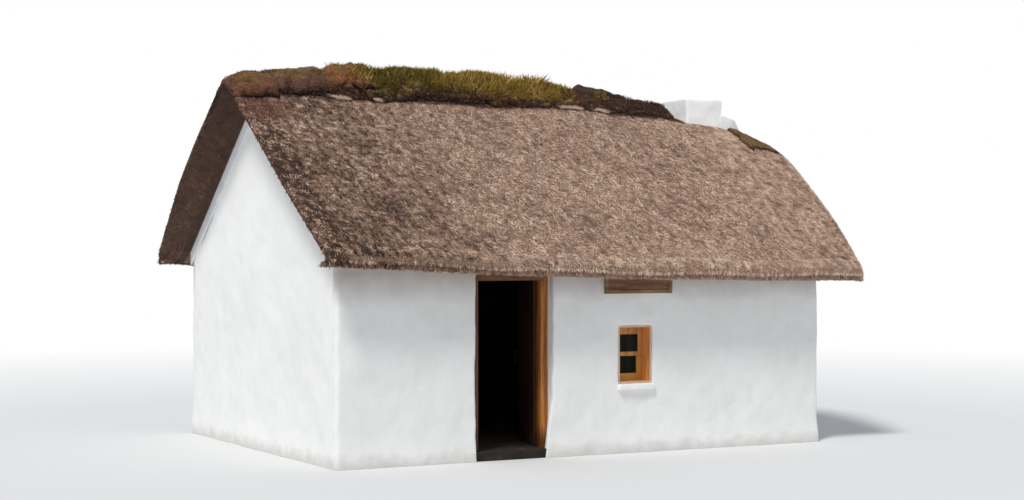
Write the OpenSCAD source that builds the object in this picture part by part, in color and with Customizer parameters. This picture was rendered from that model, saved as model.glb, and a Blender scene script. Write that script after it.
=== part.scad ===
// Whitewashed thatched cottage with a turf-sod ridge.
// X runs along the front, the front faces -Y and the ridge lies over Y = 0.
// The origin is at the middle of the whole house, on the ground.

/* [Walls] */
// Outside length of the house along the front
house_l = 6250; // [5600:50:9000]
// Outside depth of the house across the gables
house_d = 4600; // [4000:50:5600]
// Thickness of the outer walls
wall_t = 550; // [450:10:650]
// Height of the front and back wall tops
wall_h = 2200; // [2150:10:2600]
// Thickness of the filling that closes the wall top up to the thatch
fill_t = 150; // [100:5:180]
// Height of the thatch underside above the wall top, at the wall's outer face
fill_h = 58; // [40:1:120]

/* [Floor] */
// Thickness of the floor and height of the threshold
floor_t = 100; // [60:5:160]

/* [Doorway] */
// Distance of the doorway from the left corner
door_from_left = 1630; // [1200:10:2000]
// Width of the doorway
door_w = 960; // [860:10:1100]
// Height of masonry over the lintel
over_lintel = 55; // [40:5:160]
// Widening of the inner side of the doorway on each side
splay = 140; // [120:5:160]
// Height of the lintel beam
lintel_t = 110; // [80:5:130]
// Bearing of the lintel beyond the widened doorway
lintel_bear = 150; // [80:10:200]
// Thickness of render in front of the lintel ends
render_t = 30; // [15:1:50]
// Setback of the door frame from the wall face
frame_back = 120; // [60:5:150]
// Width of a frame post, seen from the front
post_w = 90; // [70:1:110]
// Depth of a frame post
post_d = 120; // [90:1:140]
// Height of the frame head
head_t = 80; // [60:1:110]

/* [Door leaf] */
// How far the leaf stands open in degrees
door_open = 107; // [60:1:110]
// Overlap of the leaf on each post
leaf_lap = 40; // [25:1:60]
// Thickness of the boards
board_t = 28; // [20:1:36]
// Thickness of a ledge
ledge_t = 22; // [16:1:30]
// Height of a ledge
ledge_h = 110; // [80:1:150]
// Distance of the top and bottom ledges from the leaf's ends
ledge_end = 160; // [100:10:220]
// Distance of the ledges from the leaf's edges
ledge_inset = 30; // [15:5:50]
// Height of the latch above the leaf's foot
latch_h = 950; // [800:10:1100]
// Distance of the latch from the leaf's edge
latch_in = 75; // [60:5:110]
// Gap between the closed leaf and its frame, and under the leaf
leaf_gap = 6; // [5:0.5:12]
// Radius of a hinge pin
pin_r = 7; // [5:0.5:10]
// Clearance of a strap's eye around its pin
pin_gap = 0.5; // [0.2:0.1:1]
// Length of a strap
strap_l = 520; // [300:10:650]
// Height of a strap
strap_h = 40; // [30:1:60]
// Thickness of a strap
strap_t = 6; // [4:0.5:8]
// Wall of a strap's eye around the pin
eye_wall = 4.5; // [3:0.5:6]
// Thickness of a pintle's arm
pintle_t = 14; // [10:1:18]

/* [Windows] */
// Distance of the front window from the left corner
window_from_left = 3440; // [3100:10:4600]
// Distance of the back window from the left corner
back_window_from_left = 1700; // [900:10:4600]
// Width of a window opening
window_w = 450; // [380:10:650]
// Height of a window opening
window_h = 660; // [560:10:860]
// Height of a window opening's foot above the ground
window_z = 780; // [600:10:1000]
// Thickness of the window lining
lining_t = 25; // [18:1:35]
// Setback of the lining from the wall face
lining_back = 15; // [5:1:40]
// Depth of the lining
lining_d = 220; // [180:5:300]
// Thickness of a sash
sash_t = 30; // [24:1:40]
// Running gap between the two sashes
sash_gap = 2; // [1:0.5:4]
// Width of a sash stile
stile_w = 62; // [45:1:75]
// Height of the top rail
top_rail = 85; // [50:1:100]
// Height of the rails where the sashes meet
meeting_rail = 48; // [36:1:60]
// Height of the bottom rail
bottom_rail = 80; // [60:1:110]
// Thickness of the glass
glass_t = 4; // [3:0.5:6]
// Height of a sill
sill_t = 80; // [50:5:90]
// Length of a sill beyond the opening on each side
sill_over = 25; // [0:5:60]
// How far a sill stands out from the wall
sill_out = 55; // [30:5:80]
// Depth of a sill in the wall
sill_in = 120; // [60:5:150]

/* [Roof timbers] */
// Pitch of the thatch underside in degrees
pitch = 38.17; // [34:0.1:42]
// Number of rafter pairs
rafters_n = 4; // [3:1:5]
// Width of a rafter
rafter_w = 60; // [45:1:80]
// Depth of a rafter, square to the slope
rafter_d = 100; // [80:1:130]
// Distance of a rafter's foot from the wall face
rafter_foot = 190; // [185:1:215]
// Height of the collar ties above the ground
collar_z = 3000; // [2800:10:3200]
// Height of a collar tie
collar_h = 100; // [70:1:120]
// Number of purlins on a slope
purlins_n = 5; // [3:1:6]
// Width of a purlin along the slope
purlin_w = 70; // [50:1:90]
// Thickness of a purlin, square to the slope
purlin_t = 45; // [35:1:60]
// Half width of the ridge pole
ridge_pole_w = 85; // [60:1:110]
// Distance between the ridge pole and the first purlin
first_purlin = 200; // [120:10:300]
// Distance between the last purlin and the rafters' feet
last_purlin = 100; // [80:10:200]
// Distance of a wall plate from the wall face
plate_back = 220; // [217:1:240]
// Width of a wall plate
plate_w = 120; // [90:1:140]
// Height of a wall plate
plate_t = 90; // [85:1:95]

/* [Thatch] */
// Height of the thatch over the underside's ridge, as if the crest were sharp
crest_rise = 244; // [200:1:320]
// Radius that rounds the crest along most of the ridge
crest_r = 150; // [80:5:250]
// Radius that rounds the crest at the chimney, where it sags a little
crest_r_end = 400; // [150:10:500]
// Length over which the crest sags towards the chimney
crest_sag_l = 1900; // [1000:50:3000]
// Least thickness of the thatch, where its crest sags at the chimney
least_thatch = 30; // [20:5:60]
// Height of the low waves in the thatch's surface
wave_h = 12; // [0:1:20]
// Length of a wave along the house
wave_l = 1700; // [1200:50:3000]
// How far the eaves stand out from the walls
eave_out = 420; // [300:10:500]
// How far the eave's cut face leans in towards its lower edge
eave_lean = 150; // [100:5:200]
// Height of the eave's cut face
eave_face = 130; // [100:5:300]
// Height of the eave's lower edge at the left end, above the wall top
eave_low_rise = -70; // [-120:5:-20]
// Fall of the eave from the left end to the right end
eave_fall = 190; // [0:5:200]
// Reach of the left verge beyond the wall at the ridge
verge_ridge = 420; // [300:10:500]
// Reach of the left verge beyond the wall at the eave
verge_eave = 300; // [250:10:420]
// Reach of the left verge's lower edge beyond the wall
verge_low = 150; // [100:10:280]
// Reach of the left verge's lower edge at the ridge
verge_low_ridge = 60; // [40:5:200]
// Distance from the ridge at which the lower edge has its full reach
verge_low_u = 800; // [400:50:1500]
// Reach of the right verge beyond the wall
right_verge = 330; // [300:10:450]
// Further reach of the rounded brow over the right gable
brow_out = 240; // [150:10:450]
// Distance from the ridge at which the brow meets the verge
brow_u = 2750; // [1500:50:2800]
// Drop from the sharp crest to the brow's upper lip
brow_drop = 710; // [600:10:900]
// Thickness of the brow's lip
brow_t = 300; // [220:10:360]
// Drop from the underside's ridge to the right gable's flat head
gable_head_drop = 516; // [460:2:620]

/* [Turf ridge] */
// Thickness of the sods at the left end of the ridge
sod_t = 90; // [40:5:120]
// Thickness of the sods at the chimney
sod_t_end = 130; // [60:5:160]
// Thickness of the sod on the brow, beyond the chimney
hip_sod_t = 60; // [40:5:80]
// Further thickness of the sods and their grass at their thickest
sod_swell = 230; // [0:5:280]
// Distance of the thickest sods from the left corner
sod_peak = 2100; // [1500:50:3000]
// Distance over which the sods thin out again
sod_spread = 3200; // [2500:50:4500]
// Share of a sod's thickness left at its lower edge
sod_edge = 0.6; // [0.3:0.05:0.9]
// Share of the sods' thickness left at the verge
sod_tip = 0.5; // [0.3:0.05:1]

/* [Chimney] */
// Width of the stack across the house
stack_w = 600; // [500:10:700]
// Height of the stack's top above the thatch underside's ridge
stack_rise = 174; // [100:5:400]
// Width of the square flue
flue_w = 250; // [180:10:300]
// Length of the mortar haunch beyond the stack
haunch_l = 350; // [260:10:380]
// Length of the haunch's gentle top
haunch_top_l = 220; // [120:10:240]
// Drop from the stack's top to the haunch's top
haunch_drop = 200; // [140:5:260]
// Fall of the haunch's gentle top
haunch_top_fall = 70; // [30:5:90]
// Fall of the haunch over its whole length
haunch_fall = 230; // [180:10:300]

/* [Gable and sign] */
// Height of a barge board, square to the slope
barge_h = 120; // [60:5:140]
// Thickness of a barge board
barge_t = 25; // [18:1:35]
// Distance of the sign from the left corner
sign_from_left = 3250; // [3000:10:4400]
// Length of the sign
sign_l = 890; // [600:10:1000]
// Height of the sign
sign_h = 230; // [160:5:260]
// Drop from the wall top to the sign's lower edge
sign_drop = 400; // [300:10:460]
// Width of the sign's frame
sign_border = 38; // [25:1:50]
// Thickness of the sign's board
sign_t = 18; // [12:1:24]
// Thickness of the sign's frame
sign_frame_t = 32; // [24:1:45]

/* [Hidden] */

// Colours
whitewash = [0.92, 0.92, 0.91];
varnish = [0.70, 0.44, 0.18];
old_timber = [0.36, 0.27, 0.20];
straw = [0.60, 0.51, 0.43];
brown_turf = [0.42, 0.26, 0.19];
grassy_turf = [0.42, 0.40, 0.20];
dark_turf = [0.20, 0.13, 0.09];
iron = [0.16, 0.15, 0.15];
earth = [0.38, 0.33, 0.28];
pane = [0.30, 0.36, 0.40];
sign_brown = [0.33, 0.23, 0.16];

// Plan: outer faces of the walls
x_left = -(house_l + right_verge + brow_out - verge_ridge) / 2;
x_right = x_left + house_l;
half_d = house_d / 2;
y_front = -half_d;
in_left = x_left + wall_t;
in_right = x_right - wall_t;

// Roof underside, and the hair gap left under the thatch and at the timbers' sloping joints
bed = 0.2;
slope = tan(pitch);
under_wall = wall_h + fill_h;
under_ridge = under_wall + half_d * slope;
function under(u) = under_ridge - slope * u;
purlin_v = purlin_t / cos(pitch);
rafter_v = rafter_d / cos(pitch);
barge_v = barge_h / cos(pitch);

// The ridge pole ends on the last rafters, short of the sag at the chimney
pole_end = rafter_x(rafters_n - 1) + rafter_w;

// Right gable's head and the brow above it
gable_head = under_ridge - gable_head_drop;
head_u = gable_head_drop / slope;
crest_z = under_ridge + crest_rise;
brow_z = crest_z - brow_drop;

// Doorway
door_x0 = x_left + door_from_left;
door_x1 = door_x0 + door_w;
post_y0 = y_front + frame_back;
post_y1 = post_y0 + post_d;
lintel_top = wall_h - over_lintel;
door_h = lintel_top - lintel_t;
lintel_x0 = door_x0 - splay - lintel_bear;
lintel_x1 = door_x1 + splay + lintel_bear;

// Door leaf, as it lies when closed
leaf_x0 = door_x0 + post_w - leaf_lap;
leaf_x1 = door_x1 - post_w + leaf_lap;
leaf_y0 = post_y1 + leaf_gap;
leaf_y1 = leaf_y0 + board_t;
leaf_z0 = floor_t + leaf_gap;
leaf_z1 = door_h - head_t + leaf_lap;
pivot_out = 5;
strap_lift = 2;
pin_over = 10;
eye_r = pin_r + pin_gap + eye_wall;
pivot_x = leaf_x1 + pivot_out;
pivot_y = leaf_y1 + eye_r;
ledge_zs = [leaf_z0 + ledge_end, (leaf_z0 + leaf_z1 - ledge_h) / 2, leaf_z1 - ledge_end - ledge_h];
strap_zs = [ledge_zs[0] + ledge_h / 2, ledge_zs[2] + ledge_h / 2];

// Windows
sash_y0 = lining_back + lining_d - 2 * sash_t - sash_gap;
sash_step = sash_t + sash_gap;
clear_w = window_w - 2 * lining_t;
clear_z0 = window_z + lining_t;
clear_z1 = window_z + window_h - lining_t;
meet_z = (clear_z0 + bottom_rail + clear_z1 - top_rail) / 2;

// Thatch grids: columns run down a slope, rows run along the house
cols = 14;
flat_cols = cols - 3;
rows = 18;
brow_rows = 10;
sod_cols = 3;
hip_cols = 5;
hip_rows = 4;
eave_u = half_d + eave_out;
eave_low_u = eave_u - eave_lean;
nose_u = 60;
nose_z = 70;
wave_u = 1500;
wave_tilt = 40;
col_gather = 1.6;
brow_power = 3;
brow_soft = 100;
brow_bend = 4;

// Ends of the sod runs, as rows of the thatch
sod_row_a = 5;
sod_row_b = 15;

// Height of the haunch's foot in the thatch, and how far its end narrows
haunch_foot = 100;
haunch_round = 60;

// 2D shapes drawn as Y and Z, pulled along X from x0 to x1
module along_x(x0, x1) {
    translate([x0, 0, 0]) rotate([90, 0, 90]) linear_extrude(x1 - x0) children();
}

module box(x0, x1, y0, y1, z0, z1) {
    translate([x0, y0, z0]) cube([x1 - x0, y1 - y0, z1 - z0]);
}

// Places its children on the back wall, facing out, as they lie on the front wall
module on_back() {
    mirror([0, 1, 0]) children();
}

// Walls

module gable_outline(head) {
    cut_u = (under_ridge - bed - head) / slope;
    top = cut_u > 0 ? [[cut_u, head], [-cut_u, head]] : [[0, under_ridge - bed]];
    foot_z = under_wall - bed;
    polygon(concat([[-half_d, 0], [half_d, 0], [half_d, foot_z]], top, [[-half_d, foot_z]]));
}

module left_gable_wall() {
    color(whitewash) along_x(x_left, in_left) gable_outline(under_ridge);
}

module right_gable_wall() {
    color(whitewash) along_x(in_right, x_right) gable_outline(gable_head);
}

module long_wall_outline() {
    polygon([
        [y_front, 0], [y_front + wall_t, 0], [y_front + wall_t, wall_h], [y_front + fill_t, wall_h],
        [y_front + fill_t, under(half_d - fill_t) - bed], [y_front, under_wall - bed]
    ]);
}

// Plan of the doorway: straight past the frame, then widening into the room
module doorway_plan() {
    polygon([
        [door_x0, y_front - 1], [door_x1, y_front - 1], [door_x1, post_y1],
        [door_x1 + splay, y_front + wall_t], [door_x1 + splay, y_front + wall_t + 1],
        [door_x0 - splay, y_front + wall_t + 1], [door_x0 - splay, y_front + wall_t], [door_x0, post_y1]
    ]);
}

module doorway_cut() {
    translate([0, 0, -1]) linear_extrude(door_h + 1) doorway_plan();
    box(lintel_x0, lintel_x1, y_front + render_t, y_front + wall_t + 1, door_h, lintel_top);
}

module window_cut(from_left) {
    x0 = x_left + from_left;
    box(x0, x0 + window_w, y_front - 1, y_front + wall_t + 1, window_z, window_z + window_h);
    box(x0 - sill_over, x0 + window_w + sill_over, y_front - 1, y_front + sill_in,
        window_z - sill_t, window_z);
}

module front_wall_left() {
    color(whitewash) difference() {
        along_x(in_left, door_x0) long_wall_outline();
        doorway_cut();
    }
}

module front_wall_right() {
    color(whitewash) difference() {
        along_x(door_x1, in_right) long_wall_outline();
        doorway_cut();
        window_cut(window_from_left);
    }
}

module front_wall_over_door() {
    color(whitewash) along_x(door_x0, door_x1) intersection() {
        long_wall_outline();
        translate([y_front, lintel_top]) square([wall_t, under_ridge]);
    }
}

module back_wall() {
    color(whitewash) on_back() difference() {
        along_x(in_left, in_right) long_wall_outline();
        window_cut(back_window_from_left);
    }
}

module floor() {
    color(earth) box(in_left, in_right, y_front + wall_t, half_d - wall_t, 0, floor_t);
}

module threshold() {
    color(earth) linear_extrude(floor_t) intersection() {
        doorway_plan();
        translate([x_left, y_front]) square([house_l, wall_t]);
    }
}

// Doorway

module door_lintel() {
    color(old_timber)
        box(lintel_x0, lintel_x1, y_front + render_t, y_front + wall_t, door_h, lintel_top);
}

module door_posts() {
    color(varnish) for (x = [door_x0, door_x1 - post_w])
        box(x, x + post_w, post_y0, post_y1, floor_t, door_h);
}

module door_head() {
    color(varnish) box(door_x0 + post_w, door_x1 - post_w, post_y0, post_y1, door_h - head_t, door_h);
}

// Each pintle is an arm from the post with a pin that stands in the strap's eye
module door_pintles() {
    color(iron) for (z = strap_zs) {
        arm_top = z - strap_h / 2 - strap_lift;
        translate([pivot_x, pivot_y, arm_top - pintle_t])
            cylinder(h = pintle_t + strap_lift + strap_h + pin_over, r = pin_r, $fn = 24);
        difference() {
            box(pivot_x, pivot_x + pintle_t, post_y1, pivot_y + pin_r, arm_top - pintle_t, arm_top);
            translate([pivot_x, pivot_y, 0]) cylinder(h = door_h, r = pin_r, $fn = 24);
        }
    }
}

// Turns its children from the closed leaf's place to the open one
module opened() {
    translate([pivot_x, pivot_y, 0]) rotate([0, 0, -door_open])
        translate([-pivot_x, -pivot_y, 0]) children();
}

module door_boards() {
    color(varnish) opened() box(leaf_x0, leaf_x1, leaf_y0, leaf_y1, leaf_z0, leaf_z1);
}

module door_ledges() {
    color(varnish) opened() for (z = ledge_zs) difference() {
        box(leaf_x0 + ledge_inset, leaf_x1 - ledge_inset, leaf_y1, leaf_y1 + ledge_t, z, z + ledge_h);
        box(leaf_x1 - strap_l, leaf_x1, leaf_y1 - 1, leaf_y1 + strap_t,
            z + ledge_h / 2 - strap_h / 2, z + ledge_h / 2 + strap_h / 2);
    }
}

// Each strap is let into a ledge and ends in an eye around its pin
module door_straps() {
    color(iron) opened() for (z = strap_zs) difference() {
        union() {
            box(leaf_x1 - strap_l, leaf_x1 + 1, leaf_y1, leaf_y1 + strap_t, z - strap_h / 2, z + strap_h / 2);
            translate([pivot_x, pivot_y, z - strap_h / 2]) cylinder(h = strap_h, r = eye_r, $fn = 32);
        }
        translate([pivot_x, pivot_y, z - strap_h]) cylinder(h = 2 * strap_h, r = pin_r + pin_gap, $fn = 32);
    }
}

// A plate and a bowed handle on the outer face of the leaf
module door_latch() {
    latch_x = leaf_x0 + latch_in;
    latch_z = leaf_z0 + latch_h;
    color(iron) opened() {
        box(latch_x - 20, latch_x + 20, leaf_y0 - 3, leaf_y0, latch_z - 110, latch_z + 90);
        for (z = [latch_z - 90, latch_z + 60])
            box(latch_x - 6, latch_x + 6, leaf_y0 - 40, leaf_y0 - 3, z, z + 12);
        box(latch_x - 6, latch_x + 6, leaf_y0 - 52, leaf_y0 - 40, latch_z - 90, latch_z + 72);
    }
}

// Windows, drawn in the front wall

module window_frame(from_left) {
    x0 = x_left + from_left;
    y0 = y_front + lining_back;
    difference() {
        box(x0, x0 + window_w, y0, y0 + lining_d, window_z, window_z + window_h);
        box(x0 + lining_t, x0 + lining_t + clear_w, y0 - 1, y0 + lining_d + 1, clear_z0, clear_z1);
    }
}

// A sash between two heights, with its panes' opening
module sash(x0, y0, z0, z1, foot, head) {
    difference() {
        box(x0, x0 + clear_w, y0, y0 + sash_t, z0, z1);
        box(x0 + stile_w, x0 + clear_w - stile_w, y0 - 1, y0 + sash_t + 1, z0 + foot, z1 - head);
    }
}

// The upper sash hangs in front, and the lower one slides behind it
module window_sashes(from_left) {
    x0 = x_left + from_left + lining_t;
    y0 = y_front + sash_y0;
    sash(x0, y0, meet_z - meeting_rail / 2, clear_z1, meeting_rail, top_rail);
    sash(x0, y0 + sash_step, clear_z0, meet_z + meeting_rail / 2, bottom_rail, meeting_rail);
}

module window_glass(from_left) {
    x0 = x_left + from_left + lining_t + stile_w;
    x1 = x0 + clear_w - 2 * stile_w;
    y0 = y_front + sash_y0 + (sash_t - glass_t) / 2;
    box(x0, x1, y0, y0 + glass_t, meet_z + meeting_rail / 2, clear_z1 - top_rail);
    box(x0, x1, y0 + sash_step, y0 + sash_step + glass_t, clear_z0 + bottom_rail, meet_z - meeting_rail / 2);
}

module window_sill(from_left) {
    x0 = x_left + from_left;
    box(x0 - sill_over, x0 + window_w + sill_over, y_front - sill_out, y_front + sill_in,
        window_z - sill_t, window_z);
}

module front_window_frame() { color(varnish) window_frame(window_from_left); }
module front_window_sashes() { color(varnish) window_sashes(window_from_left); }
module front_window_glass() { color(pane) window_glass(window_from_left); }
module front_window_sill() { color(whitewash) window_sill(window_from_left); }
module back_window_frame() { color(varnish) on_back() window_frame(back_window_from_left); }
module back_window_sashes() { color(varnish) on_back() window_sashes(back_window_from_left); }
module back_window_glass() { color(pane) on_back() window_glass(back_window_from_left); }
module back_window_sill() { color(whitewash) on_back() window_sill(back_window_from_left); }

// Roof timbers

function rafter_x(i) = in_left + (in_right - in_left) * (i + 0.5) / rafters_n - rafter_w / 2;

module wall_plates() {
    color(old_timber) for (side = [0, 1]) mirror([0, side, 0])
        box(in_left, in_right, y_front + plate_back, y_front + plate_back + plate_w,
            wall_h, wall_h + plate_t);
}

// One rafter's outline on the front slope, from its foot to the plumb cut at the ridge
module rafter_outline() {
    foot_u = half_d - rafter_foot;
    top_z = under_ridge - purlin_v - bed;
    difference() {
        polygon([
            [0, top_z], [-foot_u, top_z - slope * foot_u],
            [-foot_u, top_z - rafter_v - slope * foot_u], [0, top_z - rafter_v]
        ]);
        translate([y_front + plate_back, wall_h]) square([plate_w, plate_t]);
    }
}

module rafters_front() {
    color(old_timber) for (i = [0:rafters_n - 1])
        along_x(rafter_x(i), rafter_x(i) + rafter_w) rafter_outline();
}

module rafters_back() {
    color(old_timber) on_back() for (i = [0:rafters_n - 1])
        along_x(rafter_x(i), rafter_x(i) + rafter_w) rafter_outline();
}

// Ties between the rafters' undersides, cut to their slope
module collar_ties() {
    inner_z = under_ridge - purlin_v - rafter_v - 2 * bed;
    low_u = (inner_z - collar_z) / slope;
    high_u = (inner_z - collar_z - collar_h) / slope;
    color(old_timber) for (i = [0:rafters_n - 1])
        along_x(rafter_x(i), rafter_x(i) + rafter_w) polygon([
            [-low_u, collar_z], [low_u, collar_z],
            [high_u, collar_z + collar_h], [-high_u, collar_z + collar_h]
        ]);
}

// A strip that lies between the rafters and the thatch, from u0 to u1 down the slope
module strip_outline(u0, u1) {
    polygon([
        [-u0, under(u0) - bed], [-u1, under(u1) - bed],
        [-u1, under(u1) - purlin_v], [-u0, under(u0) - purlin_v]
    ]);
}

module purlins() {
    first_u = ridge_pole_w + first_purlin;
    last_u = half_d - rafter_foot - last_purlin;
    w = purlin_w * cos(pitch);
    for (k = [0:purlins_n - 1]) {
        u = first_u + (last_u - first_u) * k / (purlins_n - 1);
        along_x(in_left, in_right) strip_outline(u, u + w);
    }
}

module purlins_front() { color(old_timber) purlins(); }
module purlins_back() { color(old_timber) on_back() purlins(); }

module ridge_pole() {
    color(old_timber) along_x(in_left, pole_end) polygon([
        [0, under_ridge - bed], [-ridge_pole_w, under(ridge_pole_w) - bed],
        [-ridge_pole_w, under(ridge_pole_w) - purlin_v], [0, under_ridge - purlin_v],
        [ridge_pole_w, under(ridge_pole_w) - purlin_v], [ridge_pole_w, under(ridge_pole_w) - bed]
    ]);
}

// Thatch

// Height of the eave's lower edge at a place along the house
function eave_low(x) =
    let (t = min(1, max(0, (x - x_left + verge_low) / (house_l + verge_low))))
    under_wall + eave_low_rise - fill_h - eave_fall * (1 - (1 - t) * (1 - t));

// Radius that rounds the crest at a place along the house
function crest_round(x) =
    let (t = min(1, max(0, (x - in_right + crest_sag_l) / crest_sag_l)))
    crest_r + (crest_r_end - crest_r) * t * t;

// Low waves of the hand-laid surface, which drift sideways down a slope and die out at the ridge
function wave(u, x) =
    wave_h * sin(360 * (x - x_left) / wave_l + wave_tilt * u / wave_u) * sin(360 * u / wave_u);

// Height of the outer surface at a distance u from the ridge
function top(u, x) =
    let (r = crest_round(x), fall = (crest_z - eave_low(x) - eave_face) / norm([eave_u, r]))
    crest_z - fall * norm([u, r]) + wave(u, x);

// Distance from the ridge of the outer surface's columns, closer together at the crest
function top_u(j) = (eave_u - nose_u) * pow(j / flat_cols, col_gather);

// A point of the outer surface, whose last three columns round the eave's edge
function outer(j, x) =
    j <= flat_cols ? [x, -top_u(j), top(top_u(j), x)] :
    j == flat_cols + 1 ? [x, -(eave_u - nose_u / 3), top(eave_u - nose_u / 3, x) - nose_z / 9] :
    j == flat_cols + 2 ? [x, -eave_u, top(eave_u, x) - nose_z / 2] :
    [x, -(eave_u - nose_u / 9), top(eave_u, x) - nose_z];

// A point of the lower surface beyond the wall, as a share k of the way to the eave's lower edge
function soffit(k, x) =
    let (z1 = eave_low(x))
    [x, -(half_d + (eave_low_u - half_d) * k), under_wall + (z1 - under_wall) * k];

// A point of the lower surface: on the timbers and wall, then out to the eave's lower edge
function inner(j, x) =
    j <= flat_cols ? [x, -half_d * j / flat_cols, under(half_d * j / flat_cols)] :
    soffit((j - flat_cols) / 3, x);

// Closes two grids of points, an upper and a lower one, into one solid.
// Rows run along +X and columns run along -Y. Columns before fold are split along
// the other diagonal, so that they match a slope that is mirrored to the back.
module sheet(upper, lower, fold = 0) {
    n = len(upper) - 1;
    m = len(upper[0]) - 1;
    function a(i, j) = i * (m + 1) + j;
    function b(i, j) = (n + 1 + i) * (m + 1) + j;
    function quad(p, q, r, s) = [[p, q, r], [p, r, s]];
    function cell(j, p, q, r, s) = j < fold ? quad(q, r, s, p) : quad(p, q, r, s);
    polyhedron(
        points = concat([for (row = upper) each row], [for (row = lower) each row]),
        faces = concat(
            [for (i = [0:n - 1], j = [0:m - 1])
                each cell(j, a(i, j), a(i + 1, j), a(i + 1, j + 1), a(i, j + 1))],
            [for (i = [0:n - 1], j = [0:m - 1])
                each cell(j, b(i, j), b(i, j + 1), b(i + 1, j + 1), b(i + 1, j))],
            [for (i = [0:n - 1]) each quad(a(i, 0), b(i, 0), b(i + 1, 0), a(i + 1, 0))],
            [for (i = [0:n - 1]) each quad(a(i, m), a(i + 1, m), b(i + 1, m), b(i, m))],
            [for (j = [0:m - 1]) each quad(a(0, j), a(0, j + 1), b(0, j + 1), b(0, j))],
            [for (j = [0:m - 1]) each quad(a(n, j), b(n, j), b(n, j + 1), a(n, j + 1))]
        ),
        convexity = 6
    );
}

// How far the left verge's outer edge stands out at column j
function verge_out(j) =
    let (t = top_u(min(j, flat_cols)) / eave_u)
    verge_ridge - (verge_ridge - verge_eave) * t * t;

// Place along the house of a slope's row: evenly spaced from the left wall face to the
// ridge pole's end, and the last one at the right gable
function row_x(i) = i == rows ? in_right : x_left + (pole_end - x_left) * (i - 2) / (rows - 3);

// Outer surface of a slope, whose first two rows round the left verge
function slope_top(i, j) =
    i >= 2 ? outer(j, row_x(i)) :
    i == 1 ? outer(j, x_left - verge_out(j) + 70) :
    outer(j, x_left - verge_out(j)) - [0, 0, nose_z / 2];

// Reach of the left verge's lower edge at column j
function verge_in(j) =
    verge_low - (verge_low - verge_low_ridge) * max(0, 1 - half_d * j / flat_cols / verge_low_u);

// Lower surface at the right gable, which keeps the least thickness under the sagging crest
function sagged(j) =
    let (p = inner(j, in_right))
    j > flat_cols ? p : [p[0], p[1], min(p[2], top(-p[1], in_right) - least_thatch)];

function slope_under(i, j) =
    i == rows ? sagged(j) :
    i >= 2 ? inner(j, row_x(i)) :
    inner(j, x_left - verge_in(j) * (i == 1 ? 0.5 : 1));

module thatch_slope() {
    sheet(
        [for (i = [0:rows]) [for (j = [0:cols]) slope_top(i, j)]],
        [for (i = [0:rows]) [for (j = [0:cols]) slope_under(i, j)]]
    );
}

module thatch_front() { color(straw) thatch_slope(); }
module thatch_back() { color(straw) on_back() thatch_slope(); }

// Right end: the ridge curves down into a rounded brow, and the sides end in a verge

// Reach of the end's upper edge beyond the wall, at a distance u from the ridge
function end_reach(u) =
    let (t = min(1, u / brow_u))
    right_verge + brow_out * (1 - pow(t, brow_bend));

// How far the surface at height z comes down to meet the brow's lip at height lip
function lip_drop(z, lip) = let (d = z - lip) (d + norm([d, brow_soft])) / 2;

// A point of the end's outer surface at column j, a share t of the way out
function end_top(j, t) =
    let (p0 = outer(j, in_right),
         u = -p0[1],
         x = in_right + (wall_t + end_reach(u)) * t,
         p = outer(j, x),
         nose = t == 1 ? nose_z / 2 : 0)
    [x, p[1], p[2] - lip_drop(p0[2], brow_z) * pow(t, brow_power) - nose];

// Columns of the end's lower surface, one of which lies where the gable's head is cut
function head_col_u(j) = j == 0 ? 0 : head_u + (half_d - head_u) * (j - 1) / (flat_cols - 1);

// A point of the end's lower surface: on the gable wall, then out and down to the lip
function end_under(j, i) =
    let (u = head_col_u(min(j, flat_cols)),
         k = max(0, i - 1) / (brow_rows - 1),
         out = (end_reach(u) - right_verge + verge_low) * k,
         x = i == 0 ? in_right : x_right + out,
         on_wall = min(under(u), gable_head),
         drop = lip_drop(on_wall, brow_z - brow_t) * (on_wall > brow_z - brow_t - brow_soft ? 1 : 0))
    j > flat_cols ? soffit((j - flat_cols) / 3, x) :
    [x, -u, on_wall - drop * pow(k, 1.5)];

function end_share(i) = i == brow_rows ? 1 : 0.96 * i / (brow_rows - 1);

module thatch_end() {
    difference() {
        sheet(
            [for (i = [0:brow_rows]) [for (j = [0:cols]) end_top(j, end_share(i))]],
            [for (i = [0:brow_rows]) [for (j = [0:cols]) end_under(j, i)]]
        );
        stack_block(gable_head - 1, crest_z + stack_rise);
    }
}

module thatch_right_front() { color(straw) thatch_end(); }
module thatch_right_back() { color(straw) on_back() thatch_end(); }

// Turf sods on the crest

function sod_thick(x) =
    let (a = min(90, abs(x - x_left - sod_peak) / sod_spread * 90),
         t = max(0, (x - x_left) / (in_right - x_left)))
    sod_t + (sod_t_end - sod_t) * t * t + sod_swell * cos(a) * cos(a);

// A point of the thatch's crest at column c, counted from the back to the front
function crest_point(i, c) =
    let (j = c - sod_cols, p = slope_top(i, abs(j)))
    [p[0], j < 0 ? -p[1] : p[1], p[2]];

// The sods lie on the crest and thin out towards their lower edges
module sod_run(i0, i1) {
    sheet(
        [for (i = [i0:i1]) [for (c = [0:2 * sod_cols])
            let (p = crest_point(i, c),
                 edge = abs(c - sod_cols) == sod_cols ? sod_edge : 1,
                 tip = i == 0 ? sod_tip : 1)
            p + [0, 0, sod_thick(p[0]) * edge * tip]]],
        [for (i = [i0:i1]) [for (c = [0:2 * sod_cols]) crest_point(i, c)]],
        fold = sod_cols
    );
}

module ridge_sods_left() { color(brown_turf) sod_run(0, sod_row_a); }
module ridge_sods_middle() { color(grassy_turf) sod_run(sod_row_a, sod_row_b); }
module ridge_sods_right() { color(dark_turf) sod_run(sod_row_b, rows); }

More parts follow.
